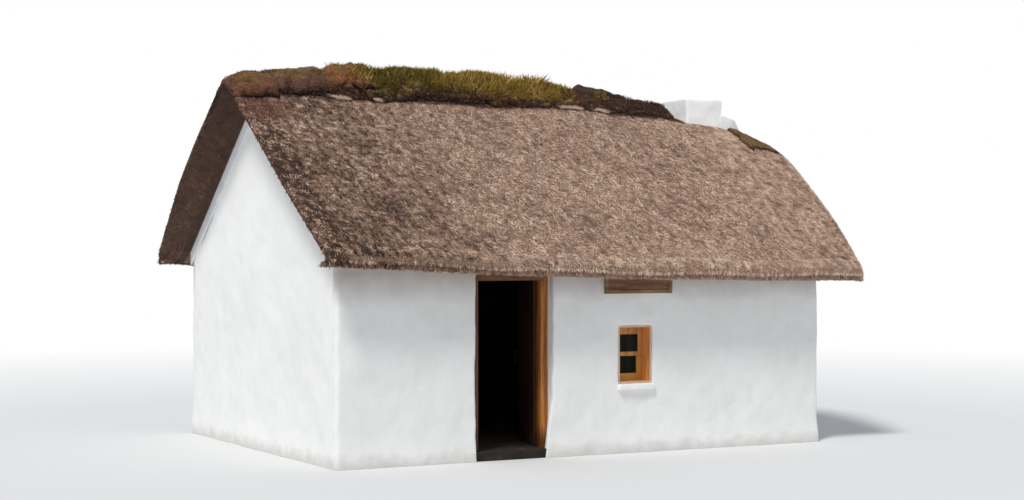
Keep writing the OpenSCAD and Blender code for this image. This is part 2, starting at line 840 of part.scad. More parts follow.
// One sod on the crest of the brow, beyond the haunch
module hip_sod() {
    function brow_point(i, c) =
        let (j = c - hip_cols, p = end_top(abs(j), end_share(i)))
        [p[0], j < 0 ? -p[1] : p[1], p[2]];
    color(dark_turf) sheet(
        [for (i = [brow_rows - hip_rows:brow_rows]) [for (c = [0:2 * hip_cols])
            brow_point(i, c) + [0, 0, hip_sod_t * (abs(c - hip_cols) == hip_cols ? sod_edge : 1)]]],
        [for (i = [brow_rows - hip_rows:brow_rows]) [for (c = [0:2 * hip_cols]) brow_point(i, c)]],
        fold = hip_cols
    );
}

// Chimney

module stack_block(z0, z1) {
    box(in_right, x_right, -stack_w / 2, stack_w / 2, z0, z1);
}

module chimney_stack() {
    flue_x = (in_right + x_right) / 2;
    color(whitewash) difference() {
        stack_block(gable_head, under_ridge + stack_rise);
        box(flue_x - flue_w / 2, flue_x + flue_w / 2, -flue_w / 2, flue_w / 2,
            gable_head - 1, under_ridge + stack_rise + 1);
    }
}

// Mortar that sheds rain from the stack onto the brow
module chimney_haunch() {
    top_z = under_ridge + stack_rise - haunch_drop;
    foot_z = gable_head + haunch_foot;
    color(whitewash) difference() {
        hull() {
            box(x_right, x_right + 1, -stack_w / 2, stack_w / 2, foot_z, top_z);
            box(x_right, x_right + haunch_top_l, -stack_w / 2, stack_w / 2, foot_z, top_z - haunch_top_fall);
            box(x_right, x_right + haunch_l, -stack_w / 2 + haunch_round, stack_w / 2 - haunch_round,
                foot_z, top_z - haunch_fall);
        }
        thatch_end();
        on_back() thatch_end();
        hip_sod();
    }
}

// Gable trim and sign

module barge_boards() {
    color(whitewash) for (side = [0, 1]) mirror([0, side, 0])
        along_x(x_left - barge_t, x_left) polygon([
            [0, under_ridge - bed], [-half_d, under_wall - bed],
            [-half_d, under_wall - barge_v], [0, under_ridge - barge_v]
        ]);
}

module sign_frame() {
    x0 = x_left + sign_from_left;
    sign_z = wall_h - sign_drop;
    color(sign_brown) difference() {
        box(x0, x0 + sign_l, y_front - sign_frame_t, y_front, sign_z, sign_z + sign_h);
        box(x0 + sign_border, x0 + sign_l - sign_border, y_front - sign_frame_t - 1, y_front + 1,
            sign_z + sign_border, sign_z + sign_h - sign_border);
    }
}

module sign_board() {
    x0 = x_left + sign_from_left + sign_border;
    sign_z = wall_h - sign_drop;
    color(sign_brown) box(x0, x0 + sign_l - 2 * sign_border, y_front - sign_t, y_front,
        sign_z + sign_border, sign_z + sign_h - sign_border);
}

left_gable_wall();
right_gable_wall();
front_wall_left();
front_wall_right();
front_wall_over_door();
back_wall();
floor();
threshold();
door_lintel();
door_posts();
door_head();
door_pintles();
door_boards();
door_ledges();
door_straps();
door_latch();
front_window_frame();
front_window_sashes();
front_window_glass();
front_window_sill();
back_window_frame();
back_window_sashes();
back_window_glass();
back_window_sill();
wall_plates();
rafters_front();
rafters_back();
collar_ties();
purlins_front();
purlins_back();
ridge_pole();
thatch_front();
thatch_back();
thatch_right_front();
thatch_right_back();
ridge_sods_left();
ridge_sods_middle();
ridge_sods_right();
hip_sod();
chimney_stack();
chimney_haunch();
barge_boards();
sign_board();
sign_frame();
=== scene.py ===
"""Looks of the whitewashed thatched cottage with a turf ridge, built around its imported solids.

Lengths are in metres and carry the names of part.scad. X runs along the front, the front faces
-Y and the ridge lies over Y = 0.
"""

import math

import bpy
import numpy as np
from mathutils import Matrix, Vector


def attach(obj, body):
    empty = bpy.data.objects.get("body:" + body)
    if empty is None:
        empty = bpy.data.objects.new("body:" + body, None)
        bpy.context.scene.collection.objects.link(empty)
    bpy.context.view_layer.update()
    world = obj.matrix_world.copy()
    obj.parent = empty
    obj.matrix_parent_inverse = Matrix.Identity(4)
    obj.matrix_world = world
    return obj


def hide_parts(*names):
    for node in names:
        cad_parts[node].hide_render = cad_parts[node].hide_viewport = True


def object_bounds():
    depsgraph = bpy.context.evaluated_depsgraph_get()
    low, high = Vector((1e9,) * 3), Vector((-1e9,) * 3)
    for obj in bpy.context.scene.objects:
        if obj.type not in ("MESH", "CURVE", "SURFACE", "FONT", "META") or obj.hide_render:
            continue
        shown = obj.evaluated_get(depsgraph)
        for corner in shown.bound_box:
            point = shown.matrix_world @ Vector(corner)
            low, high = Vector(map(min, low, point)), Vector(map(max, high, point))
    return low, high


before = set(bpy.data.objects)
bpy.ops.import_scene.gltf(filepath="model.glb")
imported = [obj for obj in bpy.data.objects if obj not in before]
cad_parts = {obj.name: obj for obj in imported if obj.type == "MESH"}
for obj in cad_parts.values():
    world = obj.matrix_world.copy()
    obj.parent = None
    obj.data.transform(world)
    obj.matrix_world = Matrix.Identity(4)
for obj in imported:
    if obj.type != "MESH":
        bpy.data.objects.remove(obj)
cad_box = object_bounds()
lo_box, hi_box = np.array(cad_box[0]), np.array(cad_box[1])

# Sizes, as in part.scad

house_l, house_d, wall_t, wall_h = 6.25, 4.6, 0.55, 2.2
fill_t, fill_h, floor_t = 0.15, 0.058, 0.1
x_left = -3.2
x_right = x_left + house_l
half_d = house_d / 2
y_front, inner_y = -half_d, half_d - wall_t
in_left, in_right = x_left + wall_t, x_right - wall_t
slope = math.tan(math.radians(38.17))
under_wall = wall_h + fill_h
under_ridge = under_wall + half_d * slope
door_x0 = x_left + 1.63
door_x1 = door_x0 + 0.96
splay = 0.14
lintel_top = wall_h - 0.055
door_h = lintel_top - 0.11
lintel_x0, lintel_x1 = door_x0 - splay - 0.15, door_x1 + splay + 0.15
post_y0, post_y1 = y_front + 0.12, y_front + 0.24
window_w, window_h, window_z = 0.45, 0.66, 0.78
front_window_x = x_left + 3.44
back_window_x = x_left + 1.7
sill_t, sill_over, sill_out, sill_in = 0.08, 0.025, 0.055, 0.12
crest_z = under_ridge + 0.244
crest_r, crest_r_end, crest_sag_l = 0.15, 0.4, 1.9
eave_u = half_d + 0.42
eave_low_u = eave_u - 0.15
eave_face, eave_low_rise, eave_fall = 0.13, -0.07, 0.19
verge_low, verge_low_ridge, verge_low_u = 0.15, 0.06, 0.8
right_verge, brow_out, brow_u, brow_t, brow_soft = 0.33, 0.24, 2.75, 0.3, 0.1
brow_z = crest_z - 0.71
gable_head = under_ridge - 0.516
nose_u, nose_z = 0.06, 0.07
verge_ridge, verge_eave = 0.42, 0.3
wave_h, wave_l, wave_u, wave_tilt = 0.012, 1.7, 1.5, math.radians(40)
stack_w, stack_top, flue_w = 0.6, under_ridge + 0.174, 0.25
haunch_l, haunch_top_l = 0.35, 0.22
haunch_z = stack_top - 0.2


# Noise

def lattice(i, j, k, seed):
    n = (i * 73856093) ^ (j * 19349663) ^ (k * 83492791) ^ (seed * 40503 + 977)
    n = n & 0xFFFFFFFF
    n = ((n ^ (n >> 13)) * 1274126177) & 0xFFFFFFFF
    n = ((n ^ (n >> 16)) * 2246822519) & 0xFFFFFFFF
    return ((n ^ (n >> 15)) & 0xFFFFFF) / 0x7FFFFF - 1


def noise(p, size, seed=0):
    """Smooth noise from -1 to 1 at each point, with bumps about as wide as size"""
    p = np.asarray(p, float).reshape(-1, 3) / size
    cell = np.floor(p).astype(np.int64)
    f = p - cell
    f = f * f * (3 - 2 * f)
    total = np.zeros(len(p))
    for c in range(8):
        d = np.array([c & 1, c >> 1 & 1, c >> 2 & 1])
        total += np.prod(np.where(d, f, 1 - f), axis=1) * lattice(*(cell + d).T, seed)
    return total


def fbm(p, size, octaves=3, seed=0):
    return sum(noise(p, size / 2 ** k, seed + 17 * k) / 2 ** k for k in range(octaves))


def ease(t):
    t = np.clip(t, 0, 1)
    return t * t * (3 - 2 * t)


def between(v, a, b):
    return (v > a) & (v < b)


def unit(v):
    return v / np.maximum(np.linalg.norm(v, axis=-1, keepdims=True), 1e-12)


# Meshes

def lines(a, b, cell, *stops):
    """Grid lines from a to b, no further apart than cell, with one at each stop"""
    marks = sorted({a, b, *[s for s in stops if a + 1e-6 < s < b - 1e-6]})
    out = [a]
    for p, q in zip(marks, marks[1:]):
        out += list(np.linspace(p, q, max(1, math.ceil((q - p) / cell - 1e-6)) + 1)[1:])
    return np.array(out)


def rim(a, b, r, mid=0.65):
    """Stops that a rounding of radius r needs at both ends of a line"""
    return [end for t in (0.3, mid, 1) for end in (a + r * t, b - r * t)]


def span(values, a, b):
    return values[between(values, a - 1e-6, b + 1e-6)]


def grid_quads(rows, cols):
    i, j = np.meshgrid(np.arange(rows - 1), np.arange(cols - 1), indexing="ij")
    a = (i * cols + j).ravel()
    return np.stack([a, a + 1, a + cols + 1, a + cols], -1)


class Shell:
    """Patches of quads that are joined where their points meet"""

    def __init__(self):
        self.points, self.quads, self.tags, self.count = [], [], [], 0

    def add(self, grid, out, keep=None, tag=0):
        """Adds a grid of points, with faces that look out"""
        p = grid.reshape(-1, 3)
        q = grid_quads(*grid.shape[:2])
        if keep is not None:
            q = q[keep(p[q].mean(1))]
        n = np.cross(p[q[:, 2]] - p[q[:, 0]], p[q[:, 3]] - p[q[:, 1]])
        if (n * out).sum() < 0:
            q = q[:, ::-1]
        self.points.append(p)
        self.quads.append(q + self.count)
        self.tags.append(np.full(len(q), tag))
        self.count += len(p)

    def flat(self, us, vs, place, out, keep=None, tag=0):
        """Adds a patch over grid lines, with place giving its points"""
        u, v = np.meshgrid(us, vs, indexing="ij")
        grid = np.stack(np.broadcast_arrays(*place(u, v)), -1).astype(float)
        self.add(grid, out, keep, tag)

    def plane(self, axis, at, us, vs, sign, keep=None, tag=0):
        """Adds a flat patch square to an axis, at a place on it, that looks along it or back"""
        def place(u, v):
            ways = [u, v]
            ways.insert(axis, at)
            return ways
        self.flat(us, vs, place, np.eye(3)[axis] * sign, keep, tag)

    def join(self, eps=2e-4):
        """Points, quads, triangles and the quads' tags"""
        p = np.concatenate(self.points)
        q = np.concatenate(self.quads)
        tags = np.concatenate(self.tags)
        key = np.round(p / eps).astype(np.int64)
        _, first, back = np.unique(key, axis=0, return_index=True, return_inverse=True)
        q = back.reshape(-1)[q]
        used, q2 = np.unique(q, return_inverse=True)
        p, q = p[first][used], q2.reshape(q.shape)
        same = (q == np.roll(q, -1, 1)).any(1)
        tris = [list(dict.fromkeys(row)) for row in q[same].tolist()]
        tris = np.array([t for t in tris if len(t) == 3], int).reshape(-1, 3)
        return p, q[~same], tris, tags[~same]


def normals_of(p, *faces):
    """Normals of points, from quads and triangles"""
    n = np.zeros_like(p)
    for f in faces:
        corners = f.shape[1]
        cross = np.cross(p[f[:, 2]] - p[f[:, 0]], p[f[:, 3 % corners]] - p[f[:, 1]])
        for c in range(corners):
            np.add.at(n, f[:, c], cross)
    return unit(n)


def soften(p, q, share, rounds):
    """Moves each point towards its neighbours' middle, by its share"""
    e = np.concatenate([q[:, [0, 1]], q[:, [1, 2]], q[:, [2, 3]], q[:, [3, 0]]])
    e = np.unique(np.sort(e, axis=1), axis=0)
    deg = np.bincount(e.ravel(), minlength=len(p))[:, None]
    for _ in range(rounds):
        s = np.zeros_like(p)
        np.add.at(s, e[:, 0], p[e[:, 1]])
        np.add.at(s, e[:, 1], p[e[:, 0]])
        p = p + (s / np.maximum(deg, 1) - p) * share[:, None]
    return p


def rounded(p, lo, hi, r):
    """Points of a block with its edges rounded, and how far each lay outside its core"""
    core = np.clip(p, np.add(lo, r), np.subtract(hi, r))
    d = p - core
    out = np.linalg.norm(d, axis=1, keepdims=True)
    return core + d / np.maximum(out, 1e-9) * r, out


def faces_of(q):
    """Which points some faces use, and the faces counted over these alone"""
    used, back = np.unique(q, return_inverse=True)
    return used, back.reshape(q.shape)


def merged(parts):
    """Puts together the points and faces of parts"""
    starts = np.cumsum([0] + [len(part[0]) for part in parts])
    faces = [np.concatenate([part[k] + at for part, at in zip(parts, starts)])
             for k in range(1, len(parts[0]))]
    return np.concatenate([part[0] for part in parts]), faces


def mesh_from(name, points, faces, normals=None, smooth=True):
    mesh = bpy.data.meshes.new(name)
    faces = [np.asarray(f) for f in faces if len(f)]
    loops = np.concatenate([f.ravel() for f in faces]).astype(np.int32)
    sizes = np.concatenate([np.full(len(f), f.shape[1]) for f in faces])
    starts = np.concatenate([[0], np.cumsum(sizes)[:-1]]).astype(np.int32)
    mesh.vertices.add(len(points))
    mesh.vertices.foreach_set("co", np.asarray(points, np.float32).ravel())
    mesh.loops.add(len(loops))
    mesh.loops.foreach_set("vertex_index", loops)
    mesh.polygons.add(len(sizes))
    mesh.polygons.foreach_set("loop_start", starts)
    mesh.update(calc_edges=True)
    mesh.polygons.foreach_set("use_smooth", np.full(len(sizes), smooth))
    if normals is not None:
        mesh.normals_split_custom_set_from_vertices([tuple(n) for n in normals])
    return mesh


def tone(mesh, values, name="tone"):
    data = mesh.attributes.new(name, "FLOAT", "POINT").data
    data.foreach_set("value", np.asarray(values, np.float32))


def put(mesh, material, nodes=(), body="house"):
    """Makes a piece of a mesh, which rides a body and stands for CAD nodes"""
    obj = bpy.data.objects.new(mesh.name, mesh)
    bpy.context.scene.collection.objects.link(obj)
    mesh.materials.append(material)
    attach(obj, body)
    if nodes:
        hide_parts(*nodes)


def boxed(p):
    """Keeps points inside the CAD box"""
    return np.clip(p, lo_box + 0.0005, hi_box - 0.0005)


# Materials. Their colours are as on screen, 0 to 255

def paint(c):
    """A colour made linear, or a node's output as it is"""
    if isinstance(c, Output):
        return c
    return (*(v / 255 / 12.92 if v <= 10 else ((v / 255 + 0.055) / 1.055) ** 2.4 for v in c), 1)


class Output:
    """What a node gives out, with arithmetic that adds nodes"""

    def __init__(self, tree, node, out=0):
        self.tree, self.node, self.socket = tree, node, node.outputs[out]

    def __add__(self, b):
        return self.tree.math("ADD", self, b)

    def __sub__(self, b):
        return self.tree.math("SUBTRACT", self, b)

    def __mul__(self, b):
        return self.tree.math("MULTIPLY", self, b)

    def __abs__(self):
        return self.tree.math("ABSOLUTE", self)

    def mask(self, a, b):
        """Goes from 0 to 1 as the output goes from a to b"""
        return self.tree.node("ShaderNodeMapRange", {"Value": self, "From Min": a, "From Max": b})

    def ramp(self, places, *colours):
        r = self.tree.node("ShaderNodeValToRGB", {"Fac": self})
        stops = r.node.color_ramp.elements
        while len(stops) < len(places):
            stops.new(0.5)
        for stop, at, c in zip(stops, places, colours):
            stop.position = at
            stop.color = paint(c)
        return r


class Tree:
    """Short forms for adding nodes"""

    def __init__(self, tree):
        self.tree = tree

    def feed(self, socket, value):
        if isinstance(value, Output):
            self.tree.links.new(value.socket, socket)
        else:
            socket.default_value = value

    def node(self, kind, inputs, out=0, **values):
        n = self.tree.nodes.new(kind)
        for key, value in values.items():
            setattr(n, key, value)
        for key, value in inputs.items():
            self.feed(n.inputs[key], value)
        return Output(self, n, out)

    def math(self, kind, a, b=0.0):
        return self.node("ShaderNodeMath", {0: a, 1: b}, operation=kind)

    def mix(self, factor, a, b):
        return self.node("ShaderNodeMix", {"Factor": factor, 6: paint(a), 7: paint(b)}, 2, data_type="RGBA")


class Material(Tree):
    def __init__(self, name, rough, specular=0.3):
        self.material = bpy.data.materials.new(name)
        self.material.use_nodes = True
        super().__init__(self.material.node_tree)
        self.shader = self.tree.nodes["Principled BSDF"]
        self.set("Roughness", rough)
        self.set("Specular IOR Level", specular)
        self.place = self.node("ShaderNodeTexCoord", {}, "Object")

    def set(self, name, value):
        self.feed(self.shader.inputs[name], value)

    def colour(self, value):
        self.set("Base Color", paint(value))

    def scaled(self, x, y, z):
        return self.node("ShaderNodeMapping", {"Scale": (x, y, z), "Vector": self.place})

    def noise(self, size, detail=3.0, rough=0.6, vector=None, distortion=0.0):
        return self.node("ShaderNodeTexNoise", {"Scale": 1 / size, "Detail": detail, "Roughness": rough,
                                                "Distortion": distortion, "Vector": vector or self.place})

    def axis(self, letter):
        return self.node("ShaderNodeSeparateXYZ", {0: self.place}, letter)

    def attribute(self, name):
        return self.node("ShaderNodeAttribute", {}, "Fac", attribute_name=name)

    def bump(self, height, distance, strength, before=None):
        inputs = {"Distance": distance, "Strength": strength, "Height": height}
        if before:
            inputs["Normal"] = before
        b = self.node("ShaderNodeBump", inputs)
        self.set("Normal", b)
        return b


def whitewash_material():
    m = Material("whitewash", 0.85)
    z = m.axis("Z")
    c = m.noise(0.9, 4).ramp((0.3, 0.7), (238, 238, 236), (246, 246, 245))
    streaks = m.noise(0.11, vector=m.scaled(1, 1, 0.22)).mask(0.52, 0.78)
    c = m.mix(streaks * 0.14, c, (214, 214, 207))
    specks = m.noise(0.018, 2, 0.5).mask(0.66, 0.76)
    c = m.mix(specks * 0.2, c, (190, 186, 176))
    damp = (z + m.noise(0.16, 4) * -0.22).mask(0.04, -0.09)
    c = m.mix(damp * 0.35, c, (160, 150, 132))
    # Painted shade: a brown-grey band at the top of the front and back walls, under the eaves, where the
    # thatch's shadow falls
    high = (z + m.noise(0.3) * 0.2).mask(1.8, 2.14)
    under_eave_shade = abs(m.axis("Y")).mask(half_d - 0.12, half_d - 0.06)
    c = m.mix(high * under_eave_shade * 0.62, c, (176, 161, 150))
    # Painted light: above 3.6 to 3.8 m the wash turns near-white, so the stack and haunch look as bright as
    # in full sun
    chimney_painted_light = z.mask(3.6, 3.8)
    m.colour(m.mix(chimney_painted_light * 0.8, c, (253, 253, 251)))
    grit = m.bump(m.noise(0.012), 0.0016, 0.5)
    m.bump(m.noise(0.09, 3, 0.5), 0.009, 0.6, grit)
    return m.material


# Dark plaster: real soot in the flue, and painted shade on the room's faces, the wall tops and the
# doorway's jambs behind the frame
def soot_and_shade_material():
    m = Material("sooty_plaster_and_painted_shade", 0.9)
    m.colour(m.noise(0.35, 4).ramp((0.3, 0.7), (30, 25, 22), (52, 45, 40)))
    m.bump(m.noise(0.03), 0.004, 0.6)
    return m.material


def straw_material(name, places, *colours, red_at=None):
    """Blades coloured by their tone, and reddish round red_at"""
    m = Material(name, 0.8)
    t = m.attribute("tone") + m.noise(0.012, 2, 0.5).mask(0.3, 0.7) * 0.16
    c = (t - 0.08).ramp(places, *colours)
    if red_at:
        away = m.node("ShaderNodeVectorMath", {0: m.place, 1: red_at}, "Value", operation="DISTANCE")
        near = (away + m.noise(0.1) * 0.3).mask(0.52, 0.3)
        c = m.mix(near * 0.6, c, (112, 58, 44))
    m.colour(c)
    return m.material


def coat_material():
    m = Material("thatch_coat", 0.9)
    fine = m.noise(0.014, 3, 0.7)
    f = fine * 0.6 + m.noise(0.12) * 0.4
    places = (0.35, 0.5, 0.68)
    c = f.ramp(places, (80, 60, 49), (124, 100, 84), (164, 138, 118))
    cut = f.ramp(places, (48, 32, 25), (74, 52, 42), (98, 74, 60))
    m.colour(m.mix(m.axis("X").mask(x_left, x_left - 0.05), c, cut))
    m.bump(fine, 0.008, 0.8)
    return m.material


def turf_painted_shade_material(name, *soils, grass=None, bare=0.7):
    """Sods, darkened low down as painted shade. tone turns soil to grass where grass colours are given, and
    hue shifts single sods to grey where high and to orange where low"""
    m = Material(name, 0.92)
    fine = m.noise(0.02, 4, 0.65)
    c = fine.ramp((0.3, 0.5, 0.72), *soils)
    clods = m.noise(0.09)
    c = m.mix(clods.mask(0.45, 0.72), c, soils[0])
    hue = m.attribute("hue")
    c = m.mix(hue.mask(0.5, 1), c, fine.ramp((0.3, 0.6), (58, 40, 34), (104, 78, 68)))
    orange = hue.mask(0.5, 0) * m.noise(0.05, 4, 0.7).mask(0.66, 0.4)
    c = m.mix(orange, c, (152, 98, 64))
    if grass:
        green = m.noise(0.03, 4, 0.7).ramp((0.3, 0.5, 0.7), *grass)
        edge = m.attribute("tone") + m.noise(0.05) * 0.7
        c = m.mix(edge.mask(bare, bare + 0.25), c, green)
    # Painted shade: each sod's lower part, by its height, turns near-black as if in its own shadow
    height = m.attribute("height") + m.noise(0.04) * 0.3
    m.colour(m.mix(height.mask(0.55, 0.3), c, (22, 13, 9)))
    m.bump(clods, 0.03, 0.7, m.bump(fine, 0.01, 0.9))
    return m.material


upright, along = (1, 1, 0.06), (0.06, 1, 1)


def timber_material(name, *colours, grain=upright, rough=0.42, coat=0.2, painted_shade_until=None, limed=False,
                    low=None):
    """Boards whose grain runs along the axis with the small scale, darkened as painted shade left of a
    given x and on the posts' inner faces, darker at the foot, with lime wash smeared on the outer edge, or
    with another colour low down"""
    m = Material(name, rough)
    dark, _, light = colours
    grained = m.scaled(*grain)
    warp = m.noise(0.05, vector=grained, distortion=0.6)
    f = warp * 0.65 + m.noise(0.006, 4, 0.65, grained) * 0.35
    c = f.ramp((0.34, 0.5, 0.66), *colours)
    knots = m.node("ShaderNodeTexVoronoi", {"Scale": 1 / 0.19, "Vector": m.scaled(0.8, 0.8, 0.8)})
    c = m.mix(knots.mask(0.07, 0.02) * 0.55, c, dark)
    c = m.mix(m.noise(0.08, 4).mask(0.6, 0.8) * 0.25, c, light)
    if painted_shade_until is not None:
        # Painted shade: the left post, which stands in shadow, is darkened
        left = m.axis("X").mask(painted_shade_until + 0.05, painted_shade_until - 0.05)
        c = m.mix(left * 0.85, c, (66, 42, 28))
        # Painted shade: the posts' inner faces turn dark red-brown
        inner = m.axis("Y").mask(post_y0 + 0.035, post_y0 + 0.1)
        c = m.mix(inner * 0.8, c, (84, 30, 14))
        foot = (m.axis("Z") + warp * 0.2).mask(0.48, 0.3)
        c = m.mix(foot * 0.75, c, (44, 24, 18))
    if low:
        c = m.mix(m.axis("Z").mask(1.15, 0.95) * 0.7, c, low)
    if limed:
        outer = abs(m.axis("Y")) + warp * 0.016
        c = m.mix(outer.mask(half_d - 0.018, half_d - 0.008) * 0.75, c, (196, 184, 164))
    m.colour(c)
    m.set("Coat Weight", coat)
    m.set("Coat Roughness", 0.35)
    m.bump(f, 0.0025, 0.5)
    return m.material


def iron_material():
    m = Material("black_iron", 0.5)
    rust = m.noise(0.03, 4, 0.65).mask(0.55, 0.75)
    m.colour(m.mix(rust * 0.6, (32, 30, 30), (86, 52, 34)))
    m.set("Metallic", 0.6)
    m.set("Roughness", m.noise(0.02).mask(-0.4, 1.2))
    m.bump(m.noise(0.008), 0.0015, 0.5)
    return m.material


def glass_material():
    m = Material("window_glass", 0.05, 0.2)
    m.colour((96, 102, 98))
    m.set("Transmission Weight", 0.9)
    m.set("IOR", 1.12)
    m.bump(m.noise(0.16, 2, 0.4), 0.002, 0.15)
    return m.material


def painted_board_material():
    m = Material("painted_board", 0.6)
    c = m.noise(0.3, 4).ramp((0.3, 0.7), (222, 225, 228), (240, 241, 242))
    worn = m.noise(0.05, 4, 0.7).mask(0.6, 0.72)
    m.colour(m.mix(worn * 0.5, c, (168, 160, 148)))
    m.bump(m.noise(0.012, vector=m.scaled(1, 0.12, 0.12)), 0.002, 0.4)
    return m.material


def earth_material(name, *colours):
    m = Material(name, 0.95)
    m.colour(m.noise(0.2, 5, 0.65).ramp((0.3, 0.55, 0.75), *colours))
    m.bump(m.noise(0.03, 4), 0.006, 0.6)
    return m.material


whitewash = whitewash_material()
soot_and_painted_shade = soot_and_shade_material()
coat = coat_material()
straw = straw_material("thatch_straw", (0, 0.1, 0.24, 0.5, 0.78, 1), (42, 28, 21), (80, 55, 44),
                       (124, 96, 80), (182, 151, 131), (216, 190, 168), (238, 218, 198),
                       red_at=(x_left - 0.12, -0.52, 3.9))
blade_places = (0, 0.3, 0.55, 0.78, 1)
grass = straw_material("grass", blade_places, (70, 64, 27), (118, 104, 42), (156, 130, 55), (180, 148, 72),
                       (204, 172, 108))
heath = straw_material("heath", blade_places, (28, 15, 10), (66, 40, 28), (104, 70, 50), (136, 98, 62),
                       (164, 128, 78))
brown_turf = turf_painted_shade_material("brown_turf", (38, 20, 15), (88, 54, 40), (124, 84, 62),
                           grass=((74, 56, 28), (110, 82, 42), (142, 108, 58)), bare=1)
grassy_turf = turf_painted_shade_material("grassy_turf", (30, 19, 13), (74, 50, 36), (122, 92, 68),
                            grass=((72, 66, 30), (122, 106, 50), (164, 138, 70)), bare=0.78)
dark_turf = turf_painted_shade_material("dark_turf", (26, 15, 11), (54, 34, 26), (100, 70, 56))
hip_turf = turf_painted_shade_material("hip_turf", (36, 22, 14), (80, 54, 34), (116, 84, 54),
                         grass=((70, 54, 30), (106, 80, 44), (136, 106, 62)), bare=0.8)
post_varnish_painted_shade = timber_material("varnish_upright_painted_shade", (112, 58, 24), (176, 108, 48), (206, 146, 80),
                             painted_shade_until=(door_x0 + door_x1) / 2)
frame_wood = timber_material("window_frame_varnish", (206, 120, 64), (238, 164, 98), (248, 196, 138),
                             limed=True)
sash_wood = timber_material("sash_varnish", (132, 80, 38), (192, 132, 70), (214, 164, 104),
                            low=(216, 168, 72))
# Painted shade: the door head's varnish is darker than the posts', as if in the eave's shadow
head_varnish_painted_shade = timber_material("head_varnish_painted_shade", (74, 44, 26), (116, 76, 46), (146, 102, 66), grain=along)
# Painted shade: the leaf's wood is made near-black, for the dark room it opens into
door_wood_painted_shade = timber_material("door_wood_painted_shade", (30, 18, 10), (56, 34, 19), (84, 54, 30), grain=(1, 1, 0.05),
                            rough=0.55, coat=0.1)
old_wood, old = ((28, 20, 14), (62, 46, 34), (98, 76, 58)), {"rough": 0.85, "coat": 0.0}
old_along = timber_material("old_timber_along", *old_wood, grain=(0.05, 1, 1), **old)
old_down = timber_material("old_timber_down", *old_wood, grain=(1, 0.08, 0.08), **old)
weathered = {"grain": along, "rough": 0.7, "coat": 0.0}
sign_wood = timber_material("sign_wood", (84, 54, 40), (128, 90, 70), (158, 118, 94), **weathered)
sign_frame_wood = timber_material("sign_frame_wood", (94, 72, 52), (138, 112, 82), (166, 140, 108),
                                  **weathered)
iron = iron_material()
glass = glass_material()
painted_board = painted_board_material()
earth = earth_material("packed_earth", (46, 38, 33), (74, 64, 56), (104, 92, 82))
# Painted shade: the threshold stone is made dark, as if in the doorway's shadow
threshold_painted_shade = earth_material("threshold_painted_shade", (28, 22, 20), (48, 40, 36), (78, 68, 60))


# Thatch, following the same curves as part.scad

def under(u):
    return under_ridge - slope * u


def eave_low(x):
    t = np.clip((x - x_left + verge_low) / (house_l + verge_low), 0, 1)
    return under_wall + eave_low_rise - fill_h - eave_fall * (1 - (1 - t) ** 2)


def wave(u, x):
    run = np.sin(2 * math.pi * (x - x_left) / wave_l + wave_tilt * u / wave_u)
    return wave_h * run * np.sin(2 * math.pi * u / wave_u)


def top(u, x):
    t = np.clip((x - in_right + crest_sag_l) / crest_sag_l, 0, 1)
    r = crest_r + (crest_r_end - crest_r) * t * t
    fall = (crest_z - eave_low(x) - eave_face) / np.hypot(eave_u, r)
    return crest_z - fall * np.hypot(u, r) + wave(u, x)


def lip_drop(z, lip):
    d = z - lip
    return (d + np.hypot(d, brow_soft)) / 2


def end_reach(u):
    t = np.minimum(1, u / brow_u)
    return right_verge + brow_out * (1 - t ** 4)


def edge_drop(t):
    """How far a rounded edge has fallen, at t from 0 to 1 towards its rim"""
    return nose_z / 2 * (1 - np.sqrt(np.clip(1 - t * t, 0, 1)))


def smooth_path(knots, each):
    """Points of a smooth curve through knots, without the first and last, each being cut in steps"""
    k = np.array(knots, float)
    out = [k[1]]
    for a, b, c, d in zip(k, k[1:], k[2:], k[3:]):
        for s in np.arange(1, each + 1) / each:
            out.append(0.5 * (2 * b + (c - a) * s + (2 * a - 5 * b + 4 * c - d) * s * s
                              + (3 * b - a - 3 * c + d) * s ** 3))
    return np.array(out)


# Columns of a slope: u from the ridge, then the rounded nose and the cut face of the eave
slope_cols = 46
col_q = (np.arange(slope_cols + 1) / slope_cols) ** 0.7
col_u = (eave_u - nose_u) * col_q
nose = smooth_path([(-0.13, 0.101), (-0.06, 0.047), (-0.02, 0.0078), (0, -0.035), (-0.0067, -0.07),
                    (-0.05, -0.085)], 3)[1:]
cut_steps = np.arange(1, 5) / 4
edge_cols = len(nose) + len(cut_steps)
n_cols = slope_cols + 1 + edge_cols
pad_u = np.concatenate([col_u, np.full(edge_cols, eave_u)])
low_u = np.concatenate([half_d * col_q, np.full(edge_cols, half_d)])
rim_fade = np.clip((n_cols - 1 - np.arange(n_cols)) / edge_cols, 0, 1)
verge_round = 0.07


def outer_grid(x):
    """Outer surface over x, an array with a row for each row and a column for each column"""
    u = np.broadcast_to(col_u, (len(x), slope_cols + 1))
    z = top(u, x[:, :slope_cols + 1])
    xe = x[:, slope_cols:slope_cols + 1]
    nu = np.broadcast_to(eave_u + nose[:, 0], (len(x), len(nose)))
    nz = top(eave_u, xe) + nose[:, 1]
    cu = nu[:, -1:] + (eave_low_u - nu[:, -1:]) * cut_steps
    cz = nz[:, -1:] + (eave_low(xe) - nz[:, -1:]) * cut_steps
    return np.stack([x, -np.concatenate([u, nu, cu], 1), np.concatenate([z, nz, cz], 1)], -1)


def inner_grid(x):
    """Lower surface, with as many columns"""
    u = half_d * col_q
    k = np.arange(1, edge_cols + 1) / edge_cols
    flat = under(u) + 0 * x[:, :slope_cols + 1]
    out_z = under_wall + (eave_low(x[:, -1:]) - under_wall) * k
    us = np.concatenate([u, half_d + (eave_low_u - half_d) * k])
    return np.stack([x, -np.broadcast_to(us, x.shape), np.concatenate([flat, out_z], 1)], -1)


